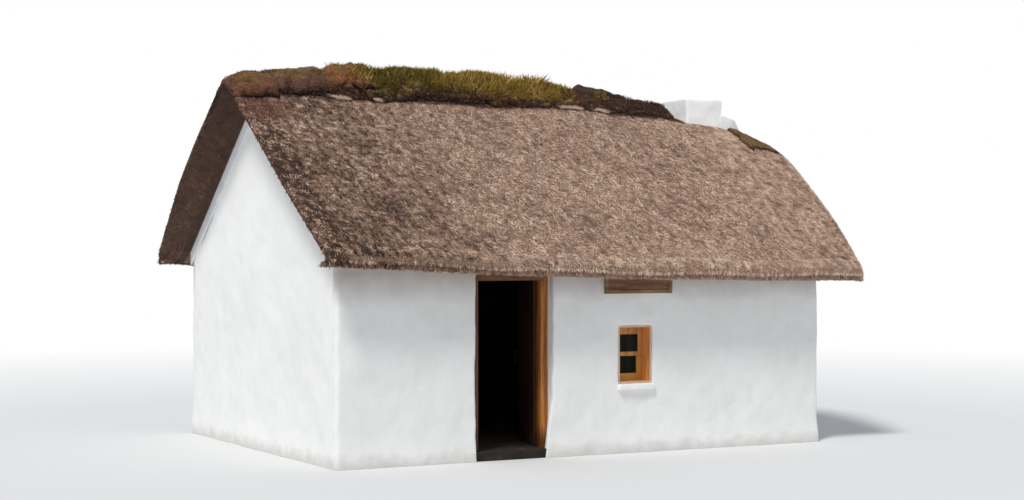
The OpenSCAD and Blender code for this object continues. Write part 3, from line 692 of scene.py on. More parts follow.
def verge_at(u, back):
    """How far the straw passes the left gable. The back verge bulges a little"""
    bulge = 0.03 * np.sin(np.clip(u / eave_u, 0, 1) * math.pi) if back else 0
    return verge_ridge - (verge_ridge - verge_eave) * (u / eave_u) ** 2 + bulge


def slope_grids(back):
    """Outer and lower grids of a slope, drawn at the front"""
    verge = verge_at(pad_u, back)
    step = 0.058
    d = verge_round * (1 - np.cos(np.linspace(0, 1, 5) * math.pi / 2))[:, None]
    k = np.arange(1, 6)[:, None] / 5
    mid_rows = (x_left - verge + verge_round) * (1 - k) + x_left * k
    body = np.linspace(x_left, in_right, int((in_right - x_left) / step) + 1)[1:, None] + 0 * pad_u
    up = outer_grid(np.concatenate([x_left - verge + d, mid_rows, body]))
    up[:len(d), :, 2] -= edge_drop(1 - d / verge_round) * rim_fade
    inset = verge_low - (verge_low - verge_low_ridge) * np.clip(1 - low_u / verge_low_u, 0, 1)
    low_edge = x_left - inset
    verge_rows = np.linspace(0, 1, 10)[:, None] * (x_left - low_edge) + low_edge
    low = inner_grid(np.concatenate([verge_rows, body]))
    last = low[-1, :slope_cols + 1, 2]
    last[:] = np.minimum(last, top(half_d * col_q, in_right) - 0.03)
    return up, low


def end_grids():
    """Outer and lower grids of the right end, with its rounded brow"""
    at_brow = 0.95 + 0.05 * np.sin(np.linspace(0, 1, 5)[1:] * math.pi / 2)
    t = np.concatenate([np.linspace(0, 0.95, 24), at_brow])[:, None]
    up = outer_grid(in_right + t * (wall_t + end_reach(np.minimum(pad_u, eave_u))))
    z0 = outer_grid(np.full((1, n_cols), in_right))[0, :, 2]
    roll = edge_drop(np.clip((t - 0.95) / 0.05, 0, 1)) * rim_fade
    up[..., 2] -= lip_drop(z0, brow_z) * t ** 3 + roll
    k = np.linspace(0, 1, 9)
    out = (end_reach(low_u) - right_verge + verge_low) * k[:, None]
    on_wall_x = np.linspace(in_right, x_right, 4)[:-1, None] + 0 * low_u
    low = inner_grid(np.concatenate([on_wall_x, x_right + out]))
    on_wall = np.minimum(low[..., 2], gable_head)
    fade = np.concatenate([np.zeros(3), k])[:, None] ** 1.5
    high = on_wall > brow_z - brow_t - brow_soft
    drop = np.where(high, lip_drop(on_wall, brow_z - brow_t), 0) * fade
    low[..., 2] = np.where(np.arange(n_cols) <= slope_cols, on_wall - drop, low[..., 2])
    return up, low


def wavy(grid):
    """Gives the thatch its slight unevenness"""
    p = grid.reshape(-1, 3)
    d = 0.005 * noise(p, 0.3, 6) - 0.007
    return (p + normals_of(p, grid_quads(*grid.shape[:2])) * d[:, None]).reshape(grid.shape)


def facing(grid, outward):
    """Turns a grid's rows round where its faces look the wrong way"""
    n = np.cross(grid[1:, 1:] - grid[:-1, :-1], grid[:-1, 1:] - grid[1:, :-1]).reshape(-1, 3).sum(0)
    return grid if (n * outward).sum() > 0 else grid[::-1]


def on_line(points, at):
    """Places along a line of points, counted from its first"""
    return np.stack([np.interp(at, np.arange(len(points)), points[:, c]) for c in range(3)], -1)


def coat_shell(up, low):
    """Closes an outer and a lower grid, and returns the shell and its left and right ends"""
    shell = Shell()
    shell.add(up, (0, -0.5, 1.0))
    shell.add(low, (0, 0.5, -1.0))
    k = np.linspace(0, 1, 6)[:, None, None]
    low_crest = on_line(low[:, 0], np.linspace(0, len(low) - 1, len(up)))
    ends = [a + (b - a) * k for a, b in ((up[0], low[0]), (up[-1], low[-1]), (up[:, 0], low_crest))]
    for grid, out in zip(ends, ((-1, 0, 0), (1, 0, 0), (0, 1, 0))):
        shell.add(grid, out)
    return shell, ends[0], ends[1]


def scatter(grid, count, rng, keep=None):
    """Even random places on a grid: points and outward normals"""
    a, b, c, d = grid[:-1, :-1], grid[1:, :-1], grid[1:, 1:], grid[:-1, 1:]
    n = np.cross(c - a, d - b)
    area = np.linalg.norm(n, axis=-1)
    if keep is not None:
        area = area * keep((a + c) / 2)
    total = np.cumsum(area.ravel())
    pick = np.searchsorted(total, (np.arange(count) + rng.random(count)) / count * total[-1])
    pick = np.minimum(pick, len(total) - 1)
    s, t = rng.random((2, count, 1))
    a, b, c, d, n = [g.reshape(-1, 3)[pick] for g in (a, b, c, d, n)]
    return (a * (1 - s) + b * s) * (1 - t) + (d * (1 - s) + c * s) * t, unit(n)


def blades(p, normal, way, rng, length, width, lift, yaw, sink=0.006):
    """Points of small folded blades, four each: root, left, tip and right"""
    n = len(p)
    side = np.cross(normal, way)
    a = rng.normal(0, yaw, (n, 1))
    t = way * np.cos(a) + side * np.sin(a)
    s = np.cross(normal, t)
    size, w, h = [rng.uniform(*limits, (n, 1)) for limits in (length, width, lift)]
    root = p - t * size * 0.5 - normal * sink
    tip = p + t * size * 0.5 + normal * h
    mid = p + normal * ((h - sink) / 2 - w * 0.35) + t * size * rng.uniform(-0.1, 0.15, (n, 1))
    return np.stack([root, mid + s * w / 2, tip, mid - s * w / 2], 1)


def blade_piece(name, sets, material, flip=False):
    """One piece of many blades. Each has its tone and its own cell in a UV map named OFBake"""
    quads = np.concatenate([b for b, _ in sets])
    tones = np.concatenate([t for _, t in sets])
    n = len(quads)
    base = np.arange(n)[:, None] * 4
    tris = np.stack([base + np.array([0, 2, 1]), base + np.array([0, 3, 2])], 1).reshape(-1, 3)
    if flip:
        tris = tris[:, ::-1]
    mesh = mesh_from(name, boxed(quads.reshape(-1, 3)), [tris], smooth=False)
    tone(mesh, np.repeat(tones, 4))
    cells = math.ceil(math.sqrt(n))
    corner = np.array([(0.5, 0.15), (0.2, 0.5), (0.5, 0.85), (0.8, 0.5)])
    cell = np.stack([np.arange(n) % cells, np.arange(n) // cells], -1)[np.repeat(np.arange(n), 2)]
    uv = (corner[tris % 4] + cell[:, None]) / cells
    mesh.uv_layers.new(name="OFBake").data.foreach_set("uv", uv.astype(np.float32).ravel())
    put(mesh, material)


def downhill(normal):
    """Steepest way down a surface"""
    return unit(normal * normal[:, 2:3] - np.array([0, 0, 1.0]))


def along_slope(normal):
    """Down the slope and a little outwards, for the reeds seen from the side in a cut face"""
    d = np.array([0, -0.78, -0.62])
    return unit(d - normal * (d * normal).sum(1, keepdims=True))


def thatch_tone(p, rng):
    """Colour of each straw: streaked, darker towards the left end, and with painted shade under the sods'
    front edge
    """
    left = ease((x_left + 2.9 - p[:, 0]) / 3.0) * 0.3
    streaks = p * [1, 0.75, 0.75]
    mottle = 0.09 * noise(p, 0.5, 31) + 0.24 * noise(streaks, 0.05, 32) + 0.17 * noise(streaks, 0.03, 33)
    corner = 0.14 * ease((x_left + 1.1 - p[:, 0]) / 1.2) * ease((2.9 - p[:, 2]) / 0.8)
    sod_edge = 0.345 + 0.03 * noise(p, 0.11, 34)
    # Painted shade: straw just under the sods' front edge is darkened, where the sods cast their shadow
    sod_shadow = ease((sod_edge - np.abs(p[:, 1])) / 0.05) * ease((x_left + 5.7 - p[:, 0]) / 0.1)
    return 0.52 + (rng.normal(0, 0.09, len(p)) + mottle) * (1 + 2 * left) - left - corner - 0.5 * sod_shadow


def cut_tone(p, rng):
    """Colour of the reeds in a verge's cut face: dark, with painted shade by the ridge, and lighter by the
    eave
    """
    u = np.abs(p[:, 1])
    mottle = 0.1 * noise(p * [1, 1, 2.5], 0.16, 35) + 0.06 * noise(p, 0.05, 36)
    # Painted shade: extra darkening near the ridge
    ridge_shade = ease((0.8 - u) / 0.7)
    return 0.07 + 0.18 * (u / eave_u) ** 1.5 - 0.08 * ridge_shade + rng.normal(0, 0.05, len(p)) + mottle


def thatch(side, mirror):
    """The coat and straw of a slope and of the right end on one side of the house"""
    rng = np.random.default_rng(11 + mirror)
    flip = np.array([1, -1 if mirror else 1, 1])
    turned = slice(None, None, flip[1])  # turns the faces of a mirrored mesh round

    def off_crest(m):
        return ((-m[..., 1] > 0.12) | (m[..., 0] > x_left + 5.4)).astype(float)

    for node, (up, low), straws, gable in (("thatch_" + side, slope_grids(mirror), 77000, True),
                                           ("thatch_right_" + side, end_grids(), 26000, False)):
        straws *= 1

        def straw_on(grid, outward, share, way, *shape, keep=None):
            p, n = scatter(facing(grid, outward), int(straws * share), rng, keep)
            return p, blades(p, n, way(n), rng, *shape)

        up = wavy(up * flip) * flip
        shell, left_end, right_end = coat_shell(up, low)
        p, q, t, _ = shell.join()
        if not gable:
            mid = p[q].mean(1)
            q = q[~(between(mid[:, 0], in_right + 0.03, x_right - 0.03) & (mid[:, 1] > -0.25))]
        mesh = mesh_from(node + "_coat", boxed(p * flip), [q[:, turned], t[:, turned]])
        put(mesh, coat, [node])

        p, b = straw_on(up[:, :slope_cols + 4], (0, -0.5, 1), 1, downhill, (0.055, 0.115), (0.010, 0.017),
                        (0.004, 0.015), 0.42, keep=off_crest)
        u = -b[..., 1]
        if gable:
            verge = x_left - verge_at(u, mirror) + 0.012 + rng.normal(0, 0.004, (len(b), 1))
            b[..., 0] = np.maximum(b[..., 0], verge)
        else:
            b[..., 0] = np.minimum(b[..., 0], x_right + end_reach(np.clip(u, 0, eave_u)) + 0.004)
        sets = [(b, thatch_tone(p, rng))]
        p, b = straw_on(up[:, slope_cols - 2:], (0, -1, 0.2), 0.14, downhill, (0.05, 0.1), (0.01, 0.018),
                        (0.004, 0.02), 0.3, 0.008)
        # Painted light: the eave face's straw is lightened, so the downward face looks as lit as the slope
        sets.append((b, thatch_tone(p, rng) + 0.12))

        # The fringe under the eave
        edge = up[:, slope_cols + 1 + len(nose)]
        p = on_line(edge, rng.random(int(straws * 0.045)) * (len(edge) - 1))
        p += rng.normal(0, 1, p.shape) * [0.01, 0.014, 0.008] - [0, 0, 0.025]
        down = unit(np.tile([0.0, -0.15, -1.0], (len(p), 1)))
        out = np.tile([0.0, -1.0, 0.15], (len(p), 1)) / math.hypot(1, 0.15)
        b = blades(p, out, down, rng, (0.035, 0.07), (0.009, 0.015), (-0.004, 0.008), 0.25)
        sets.append((b, thatch_tone(p, rng) * 0.55 + 0.16))

        cut, outward = (left_end, (-1, 0, 0)) if gable else (right_end, (1, 0, 0))
        p, b = straw_on(cut, outward, 0.08, along_slope, (0.06, 0.12), (0.008, 0.014), (-0.004, 0.006), 0.2)
        sets.append((b, cut_tone(p, rng) if gable else thatch_tone(p, rng) - 0.1))
        sets = [(b * flip, np.clip(c, 0, 1)) for b, c in sets]
        blade_piece(node + "_straw", sets, straw, mirror)


thatch("front", False)
thatch("back", True)


# Turf sods. Their places along the ridge count from the left gable

sod_cell = 0.02
turf_share = 1


def crest_at(x, v):
    """Height of the thatch at a distance v from the ridge, towards the front where positive"""
    u = np.abs(v)
    t = (x - in_right) / (wall_t + end_reach(u))
    brow = lip_drop(top(u, in_right), brow_z) * np.clip(t, 0, 1) ** 3
    return top(u, x) - np.where(x > in_right, brow, 0)


def sod_top(x):
    """Height of the sods over the thatch, a little under the CAD sods, whose top the grass reaches"""
    x = x - x_left
    a = np.minimum(90, np.abs(x - 2.1) / 3.2 * 90) * math.pi / 180
    t = np.clip(x / (house_l - wall_t), 0, None)
    tip = 0.55 + 0.45 * ease((x + 0.42) / 0.26)
    dip = ease((x - 1.1) / 0.4) * ease((4.4 - x) / 0.6)
    return (0.09 + 0.04 * t * t + 0.23 * np.cos(a) ** 2) * tip - 0.085 * dip


def hip_top(x):
    return 0.065 + 0 * x


def slab(x0, x1, back, fore, seed, ragged, lump, power=7.0, hue=0.5, lift=0.0, share=1, more=0, taper=0,
         cover=sod_top):
    """A lumpy sod draped over the crest or, with a lift, over other sods: its points, quads and triangles,
    how far each point faces up, its height in the sod and the sod's hue"""
    x0, x1 = x_left + x0, x_left + x1

    def steps(length, least):
        c = np.linspace(-1, 1, max(least, int(length / sod_cell)) + 1)
        return np.sign(c) * (1 - (1 - np.abs(c)) ** 1.25)

    def thick(x):
        return cover(x) * share + more - lift

    a, b = np.meshgrid(steps(x1 - x0, 8), steps(back + fore, 10), indexing="ij")
    x = (x0 + x1) / 2 + a * (x1 - x0) / 2
    end = np.clip(a, 0, 1)
    v = ((fore - back) / 2 + b * (fore + back) / 2) * (1 - taper * end ** 2)
    flat = np.stack([x, v, 0 * x + seed], -1).reshape(-1, 3)
    edge = np.maximum(np.abs(a), np.abs(b)) ** 3
    x = x + edge * ragged * fbm(flat, 0.12, 3, seed + 3).reshape(x.shape)
    v = v + edge * ragged * 1.3 * fbm(flat, 0.1, 3, seed + 4).reshape(x.shape)
    h = (1 - np.abs(a) ** power) ** 0.34 * (1 - np.abs(b) ** power) ** 0.34
    thin = (1 - 0.3 * np.abs(b) ** 1.5) * (1 - taper * 0.5 * end ** 4)
    base = crest_at(x, v) + lift - 0.02
    up = np.stack([x, -v, base + (thick(x) * thin + 0.02) * h], -1)
    p = up.reshape(-1, 3)
    bumps = np.array([fbm(p, 0.09, 3, seed + k) for k in (5, 6, 7)]).T.reshape(up.shape)
    shell = Shell()
    shell.add(up + bumps * lump * h[..., None], (0, 0, 1.0))
    shell.add(np.stack([x, -v, base], -1), (0, 0, -1.0))
    p, q, tris, _ = shell.join(1e-5)
    x, y, z = p.T
    # The height feeds the turf's painted shade on each sod's lower part. Sods hanging past the left end and
    # most of the hip sod get less of it
    high = (z - crest_at(x, y) - lift) / thick(x)
    high += 0.7 * (x < x_left - 0.3) + 0.35 * ((x > x_right) & (y > -0.72))
    facing_up = normals_of(p, q, tris)[:, 2]
    return p, q, tris, np.clip(facing_up, 0, 1), np.clip(high, 0, 1), np.full(len(p), hue)


def sod_piece(name, slabs, material, node):
    points, faces = merged([sod[:3] for sod in slabs])
    mesh = mesh_from(name, boxed(points), faces)
    for k, key in ((3, "tone"), (4, "height"), (5, "hue")):
        tone(mesh, np.concatenate([sod[k] for sod in slabs]), key)
    put(mesh, material, [node])


def green_slabs():
    """A low row of sods in the middle, and a row on it"""
    rng = np.random.default_rng(5)
    green = []
    x = 1.24
    while x < 3.9:
        end = x + rng.uniform(0.4, 0.62)
        fore = 0.275 + rng.uniform(-0.03, 0.025)
        green.append(slab(x, end + 0.06, 0.33, fore, 200 + len(green), 0.04, 0.026,
                          hue=rng.uniform(0.35, 0.7), share=0.5))
        x = end
    x = 1.2
    while x < 3.85:
        end = x + rng.uniform(0.5, 0.75)
        fore = 0.245 + rng.uniform(-0.02, 0.02)
        green.append(slab(x, end + 0.08, 0.29, fore, 300 + len(green), 0.035, 0.028, 4))
        x = end
    return green


brown_slabs = [slab(-0.415, 0.13, 0.34, 0.355, 101, 0.024, 0.016, 9, 0.42),
               slab(0.08, 0.8, 0.33, 0.285, 111, 0.028, 0.016, 10, 0.75),
               slab(0.7, 1.3, 0.3, 0.285, 121, 0.04, 0.022, 6, 0.6, share=0.42),
               slab(0.74, 1.1, 0.28, 0.27, 131, 0.04, 0.02, 5, 0.35, 0.06, share=0.74),
               slab(0.82, 1.36, 0.25, 0.245, 141, 0.045, 0.026, 5, 0.1, 0.1, more=0.015)]
dark_slabs = [slab(3.85, 4.5, 0.33, 0.26, 501, 0.035, 0.024, 5, 0.45),
              slab(4.4, 5.0, 0.31, 0.24, 511, 0.035, 0.024, 5),
              slab(4.9, 5.58, 0.28, 0.215, 521, 0.025, 0.02, 6, taper=0.25),
              slab(4.15, 4.8, 0.22, 0.2, 531, 0.03, 0.022, 5, more=0.03)]
hip_slab = slab(house_l + 0.08, house_l + 0.52, 0.58, 0.83, 601, 0.04, 0.011, 5, cover=hip_top)
sod_piece("ridge_sods_left_turf", brown_slabs, brown_turf, "ridge_sods_left")
sod_piece("ridge_sods_middle_turf", green_slabs(), grassy_turf, "ridge_sods_middle")
sod_piece("ridge_sods_right_turf", dark_slabs, dark_turf, "ridge_sods_right")
sod_piece("hip_sod_turf", [hip_slab], hip_turf, "hip_sod")


def grass_blades(x0, x1, count, height, seed, dry=0.0, cover=sod_top, reach=(0.31, 0.28)):
    """Grass on sods of a height, as far as reach to the back and to the front of the ridge"""
    rng = np.random.default_rng(seed)
    count = int(count * turf_share)
    x = rng.uniform(x_left + x0, x_left + x1, count * 2)
    v = rng.uniform(-reach[0], reach[1], count * 2)
    clump = fbm(np.stack([x, v, 0 * x], -1), 0.16, 2, seed)
    keep = np.argsort(-(clump + rng.normal(0, 0.35, len(x))))[:count]
    x, v, clump = x[keep], v[keep], clump[keep]
    none = 0 * x
    edge = np.where(v > 0, v / reach[1], -v / reach[0])
    face = ease((edge - 0.72) / 0.28)
    on_sod = cover(x) * (1 - 0.3 * edge ** 1.5) * (1 - face * rng.uniform(0, 0.6, count))
    p = np.stack([x, -v, crest_at(x, v) + on_sod - 0.012], -1)
    lean = rng.normal(0, 0.4, (count, 3)) + np.stack([none, -v * 1.4 - np.sign(v) * face, none], -1)
    lean[:, 2] = 1 - 0.6 * face
    up = unit(lean)
    flank = 1 - 0.5 * ease((edge - 0.3) / 0.5)
    tall = flank * (1 + 0.35 * np.clip(clump, -1, 1))
    h = height * rng.uniform(0.4, 1.35, (count, 1)) * tall[:, None]
    h = np.minimum(h, (hi_box[2] - 0.004 - p[:, 2:]) * rng.uniform(0.6, 1, (count, 1)))
    turn = rng.uniform(0, 2 * math.pi, count)
    s = np.stack([np.cos(turn), np.sin(turn), none], -1) * rng.uniform(0.0018, 0.0036, (count, 1))
    sway_x, sway_y = rng.normal(0, 0.3, (2, count))
    bend = np.stack([sway_x, sway_y - np.sign(v) * 0.25, none], -1) * h
    mid = p + up * h * 0.5
    yellow = 0.16 * ease((x - x_left - 1.9) / 0.7)
    shade = 0.4 + dry + yellow + rng.normal(0, 0.18, count) + 0.25 * noise(p, 0.3, seed + 1)
    return np.stack([p - s, mid + s, p + up * h + bend * 0.5, p + s], 1), np.clip(shade, 0, 1)


def roots(x0, x1, count, seed):
    """Dark ragged roots that hang over the sods' front and back edges"""
    rng = np.random.default_rng(seed)
    count = int(count * turf_share)
    sets = []
    for side in (1, -1):
        x = rng.uniform(x_left + x0, x_left + x1, count)
        along_x = np.stack([x, 0 * x, 0 * x], -1)
        v = 0.285 + 0.02 * noise(along_x, 0.12, seed) + rng.normal(0, 0.012, count)
        p = np.stack([x, -v, crest_at(x, v) + sod_top(x) * rng.uniform(0.0, 0.45, count)], -1)
        out, down = [np.tile(way, (count, 1)) for way in ([0.0, -0.85, 0.53], [0.0, -0.53, -0.85])]
        b = blades(p, out, down, rng, (0.03, 0.07), (0.008, 0.018), (0, 0.015), 0.7)
        sets.append((b * [1, side, 1], np.clip(0.24 + rng.normal(0, 0.2, count), 0, 1)))
    return sets


def tufts(spots, seed):
    """Bunches of pale straw that stick out from under the sods"""
    rng = np.random.default_rng(seed)
    sets = []
    for x0, x1, v, count in spots:
        x, w = rng.uniform(x_left + x0, x_left + x1, count), v + rng.normal(0, 0.012, count)
        p = np.stack([x, -w, crest_at(x, w) + rng.uniform(0.01, 0.03, count)], -1)
        out, sideways = [np.tile(way, (count, 1)) for way in ([0.0, -0.6, 0.8], [0.8, -0.48, -0.36])]
        b = blades(p, out, sideways, rng, (0.09, 0.2), (0.006, 0.011), (0.0, 0.012), 0.25)
        sets.append((b, rng.uniform(0.42, 0.85, count)))
    return sets


grassy = [grass_blades(1.22, 4.0, 24000, 0.07, 41), grass_blades(0.9, 4.1, 5000, 0.12, 48, 0.15),
          grass_blades(-0.2, 0.1, 500, 0.035, 42, 0.2), grass_blades(4.0, 4.6, 900, 0.04, 43, 0.2)]
blade_piece("ridge_grass", grassy, grass)
dry = [grass_blades(-0.38, 1.3, 6500, 0.03, 45, 0.1), grass_blades(3.9, 5.5, 4500, 0.032, 46, -0.25),
       grass_blades(house_l + 0.11, house_l + 0.49, 2600, 0.03, 44, 0.12, hip_top, (0.56, 0.8)),
       *roots(-0.1, 5.5, 2600, 47)]
blade_piece("ridge_heath", dry, heath)
spots = (0.78, 0.98, 0.305, 150), (1.32, 1.38, 0.3, 40), (3.8, 4.1, 0.3, 140), (4.3, 4.5, 0.29, 90)
blade_piece("ridge_straw_tufts", tufts(spots, 9), straw)


# Walls. An opening is its x0, x1, z0 and z1

doorway = (door_x0, door_x1, 0, door_h)
front_window = (front_window_x, front_window_x + window_w, window_z, window_z + window_h)
back_window = (back_window_x, back_window_x + window_w, window_z, window_z + window_h)
window_walls = ((front_window, y_front), (back_window, half_d))
FRONT, BACK, LEFT, RIGHT, JAMBS = range(5)
corner_r = 0.05


def clear_of(*openings):
    """Keeps the faces that lie in none of the openings"""
    def keep(m):
        inside = [between(m[:, 0], x0, x1) & between(m[:, 2], z0, z1) for x0, x1, z0, z1 in openings]
        return ~np.any(inside, 0)
    return keep


def gable(shell, x, out, ys, zs, head, cell, tag=0):
    """A gable's face, straight and then narrowing up to its head"""
    shell.plane(0, x, ys, zs, out, None, tag)
    shell.flat(ys / half_d, lines(under_wall, head, cell),
               lambda u, v: (x, u * (under_ridge - v) / slope, v), (out, 0, 0), None, tag)


def outside_walls():
    """The walls' outer faces, the doorway's jambs and the windows' reveals"""
    shell = Shell()
    fine = 0.042
    soft = (0, 0.015, 0.035)
    xs = lines(x_left, x_right, fine, *rim(x_left, x_right, corner_r, 0.62), *front_window[:2],
               *back_window[:2], front_window[0] - 0.02, front_window[1] + 0.02,
               *[door_x0 - t for t in soft], *[door_x1 + t for t in soft])
    zs = lines(0, under_wall, fine, floor_t, door_h, door_h + 0.02, *front_window[2:],
               front_window[3] + 0.02)
    ys = lines(-half_d, half_d, fine, *rim(-half_d, half_d, corner_r, 0.62))
    shell.plane(1, y_front, xs, zs, -1, clear_of(doorway, front_window), FRONT)
    shell.plane(1, half_d, xs, zs, 1, clear_of(back_window), BACK)
    gable(shell, x_left, -1, ys, zs, under_ridge, fine, LEFT)
    gable(shell, x_right, 1, ys, zs, gable_head, fine, RIGHT)
    # Jambs of the doorway, straight past the frame and then widening
    deep = y_front + wall_t - post_y1
    for x, sign, extra in ((door_x0, 1, -splay), (door_x1, -1, splay)):
        depths = lines(y_front, post_y1, 0.04, *[y_front + t for t in soft])
        shell.plane(0, x, depths, span(zs, 0, door_h), sign, None, FRONT)
        shell.flat(lines(0, 1, 0.34), lines(0, door_h, 0.3),
                   lambda u, v: (x + extra * u, post_y1 + deep * u, v), (sign, 0, 0), None, JAMBS)
    head_ys = y_front + np.array([0, 0.015, 0.03])
    shell.plane(2, door_h, span(xs, door_x0, door_x1), head_ys, -1, None, FRONT)
    dys = lines(0, wall_t, 0.12, 0.015, 0.035)
    for (x0, x1, z0, z1), side, tag in ((front_window, 1, FRONT), (back_window, -1, BACK)):
        ys = side * (y_front + dys)
        for x, sign in ((x0, 1), (x1, -1)):
            shell.plane(0, x, ys, span(zs, z0, z1), sign, None, tag)
        for z, sign in ((z0, 1), (z1, -1)):
            shell.plane(2, z, span(xs, x0, x1), ys, sign, None, tag)
    p, q, _, tags = shell.join()
    return p, q, tags


def soften_openings(p, q):
    """Rounds the edges of the doorway and windows"""
    x, y, z = p.T

    def near_edge(opening, wall_y):
        x0, x1, z0, z1 = opening
        side = (np.minimum(np.abs(x - x0), np.abs(x - x1)) < 0.05) & between(z, z0, z1 + 0.02)
        head = (np.abs(z - z1) < 0.05) & between(x, x0 - 0.02, x1 + 0.02)
        return (np.abs(y - wall_y) < 0.05) & (side | head)

    share = np.zeros(len(p))
    share[near_edge(doorway, y_front)] = 0.6
    for window, wall_y in window_walls:
        share[near_edge(window, wall_y)] = 0.35
    share[(z < 0.001) | (np.abs(y) < half_d - 0.1) & (np.abs(x) < 2.9)] = 0
    return soften(p, q, share, 3)


def rubble(p):
    """Lumps of the stones under the wash, weaker by the openings' frames and under the thatch"""
    x, y, z = p.T
    deep = (np.abs(y) < half_d - 0.06) & between(x, x_left + 0.06, x_right - 0.06)
    amount = np.where(deep, 0.25, 1.0)
    for (x0, _, z0, _), wall_y in window_walls:
        away = np.maximum(np.abs(x - x0 - window_w / 2) - window_w / 2,
                          np.abs(z - z0 - window_h / 2) - window_h / 2)
        amount = np.where(np.abs(y - wall_y) < 0.3, amount * (0.15 + 0.85 * ease(away / 0.12)), amount)
    by_frame = np.abs(x - (door_x0 + door_x1) / 2) - (door_x1 - door_x0) / 2 < 0.02
    amount = np.where(between(y, post_y0 - 0.03, -1.5) & (z < door_h + 0.05) & by_frame, 0.1, amount)
    fade = (under_wall - z) / 0.1 + np.where(np.abs(y) < half_d - 0.01, 5, 0)
    amount = amount * (0.3 + 0.7 * ease(fade))
    lumps = np.stack([0.013 * fbm(p, 0.42, 2, seed) + 0.0055 * fbm(p, 0.13, 2, seed + 50)
                      for seed in (61, 62, 63)], -1)
    lumps[:, 2] *= 0.4 * ease(z / 0.08)
    return lumps * amount[:, None]


def spread_foot(p):
    """The foot of the wall spreads a little, most of all at the doorway's right jamb"""
    x, y, z = p.T
    foot = ease((0.35 - z) / 0.35) * 0.018
    y -= np.where(y < y_front + 0.1, foot, 0)
    y += np.where(y > half_d - 0.1, foot, 0)
    x -= np.where(x < x_left + 0.1, foot, 0)
    x += np.where(x > x_right - 0.1, foot, 0)
    jamb = ease(1 - (x - door_x1) / 0.3) * (x > door_x1 - 0.03) * ease((post_y0 - 0.012 - y) / 0.06)
    x -= 0.095 * jamb * np.clip((0.64 - z) / 0.64, 0, 1) ** 0.8


def walls():
    p, q, tags = outside_walls()
    x, y = p[:, :1], p[:, 1:2]
    from_skin = np.minimum(np.minimum(np.abs(x - x_left), np.abs(x - x_right)), np.abs(np.abs(y) - half_d))
    on_skin = from_skin < 1e-5
    p = np.where(on_skin, rounded(p, (x_left, -half_d, -9), (x_right, half_d, 9), corner_r)[0], p)
    p = soften_openings(p, q)
    p = p + rubble(p)
    p[:, 2] = np.maximum(p[:, 2], 0)
    spread_foot(p)
    n = normals_of(p, q)

    def part(name, wanted):
        """A wall's skin and its underside, which runs from the foot in to the room's faces"""
        used, f = faces_of(q[wanted])
        skin = p[used]
        ends = np.stack([f, np.roll(f, -1, 1)], -1).reshape(-1, 2)
        ends = ends[(skin[ends, 2] < 1e-6).all(1)]
        foot, at = np.unique(ends, return_inverse=True)
        a, b = at.reshape(-1, 2).T + len(used)
        outer = skin[foot]
        inner = np.clip(outer, (in_left, -inner_y, 0), (in_right, inner_y, 0))
        below = np.stack([b, a, a + len(foot), b + len(foot)], 1)
        normals = np.concatenate([n[used], np.tile([0, 0, -1.0], (2 * len(foot), 1))])
        points = boxed(np.concatenate([skin, outer, inner]))
        return mesh_from(name, points, [np.concatenate([f, below])], normals)

    front_nodes = ["front_wall_left", "front_wall_right", "front_wall_over_door"]
    for name, tag, nodes in (("front_wall_render", FRONT, front_nodes),
                             ("back_wall_render", BACK, ["back_wall"]),
                             ("left_gable_render", LEFT, ["left_gable_wall"]),
                             ("right_gable_render", RIGHT, ["right_gable_wall"])):
        put(part(name, tags == tag), whitewash, nodes)
    # The doorway's jambs behind the frame get the dark plaster as painted shade, like the room
    put(part("doorway_plaster", tags == JAMBS), soot_and_painted_shade)


def room():
    """Plaster of the room's faces and the wall tops, painted dark as the shade of the unlit room"""
    shell = Shell()
    cell = 0.3
    xs = lines(in_left, in_right, cell, door_x0 - splay, door_x1 + splay, lintel_x0, lintel_x1,
               *front_window[:2], *back_window[:2])
    zs = lines(0, wall_h, cell, door_h, lintel_top, *front_window[2:])
    wide_doorway = (door_x0 - splay, door_x1 + splay, 0, door_h)
    beam = (lintel_x0, lintel_x1, door_h, lintel_top)
    shell.plane(1, -inner_y, xs, zs, 1, clear_of(wide_doorway, beam, front_window))
    shell.plane(1, inner_y, xs, zs, -1, clear_of(back_window))
    top_y = half_d - fill_t
    for s in (-1, 1):
        shell.plane(2, wall_h, xs, [s * inner_y, s * top_y], 1)
        shell.plane(1, s * top_y, xs, [wall_h, under(top_y)], -s)
        shell.flat(xs, [top_y, half_d - 0.04], lambda u, v: (u, s * v, under(v)), (0, 0, 1))
    ys = np.linspace(-half_d + 0.05, half_d - 0.05, 12)
    for x, out, head in ((in_left, 1, under_ridge), (in_right, -1, gable_head)):
        gable(shell, x, out, ys, lines(0, under_wall, cell), head, cell)
    p, q, t, _ = shell.join()
    put(mesh_from("room_plaster", p, [q, t], smooth=False), soot_and_painted_shade)


walls()
room()


# Lumpy masonry blocks

def lumpy_block(lo, hi, cell, r, lump, seed, size=0.12, shape=None):
    """Points and quads of a block with rounded edges and an uneven surface"""
    ways = [lines(lo[k], hi[k], cell, *rim(lo[k], hi[k], r)) for k in range(3)]
    shell = Shell()
    for k in range(3):
        us, vs = [way for i, way in enumerate(ways) if i != k]
        for at, sign in ((lo[k], -1), (hi[k], 1)):
            shell.plane(k, at, us, vs, sign)
    p, q, _, _ = shell.join(1e-5)
    p, _ = rounded(p, lo, hi, r)
    if shape:
        p = shape(p)
    return p + np.stack([lump * fbm(p, size, 3, seed + k) for k in range(3)], -1), q


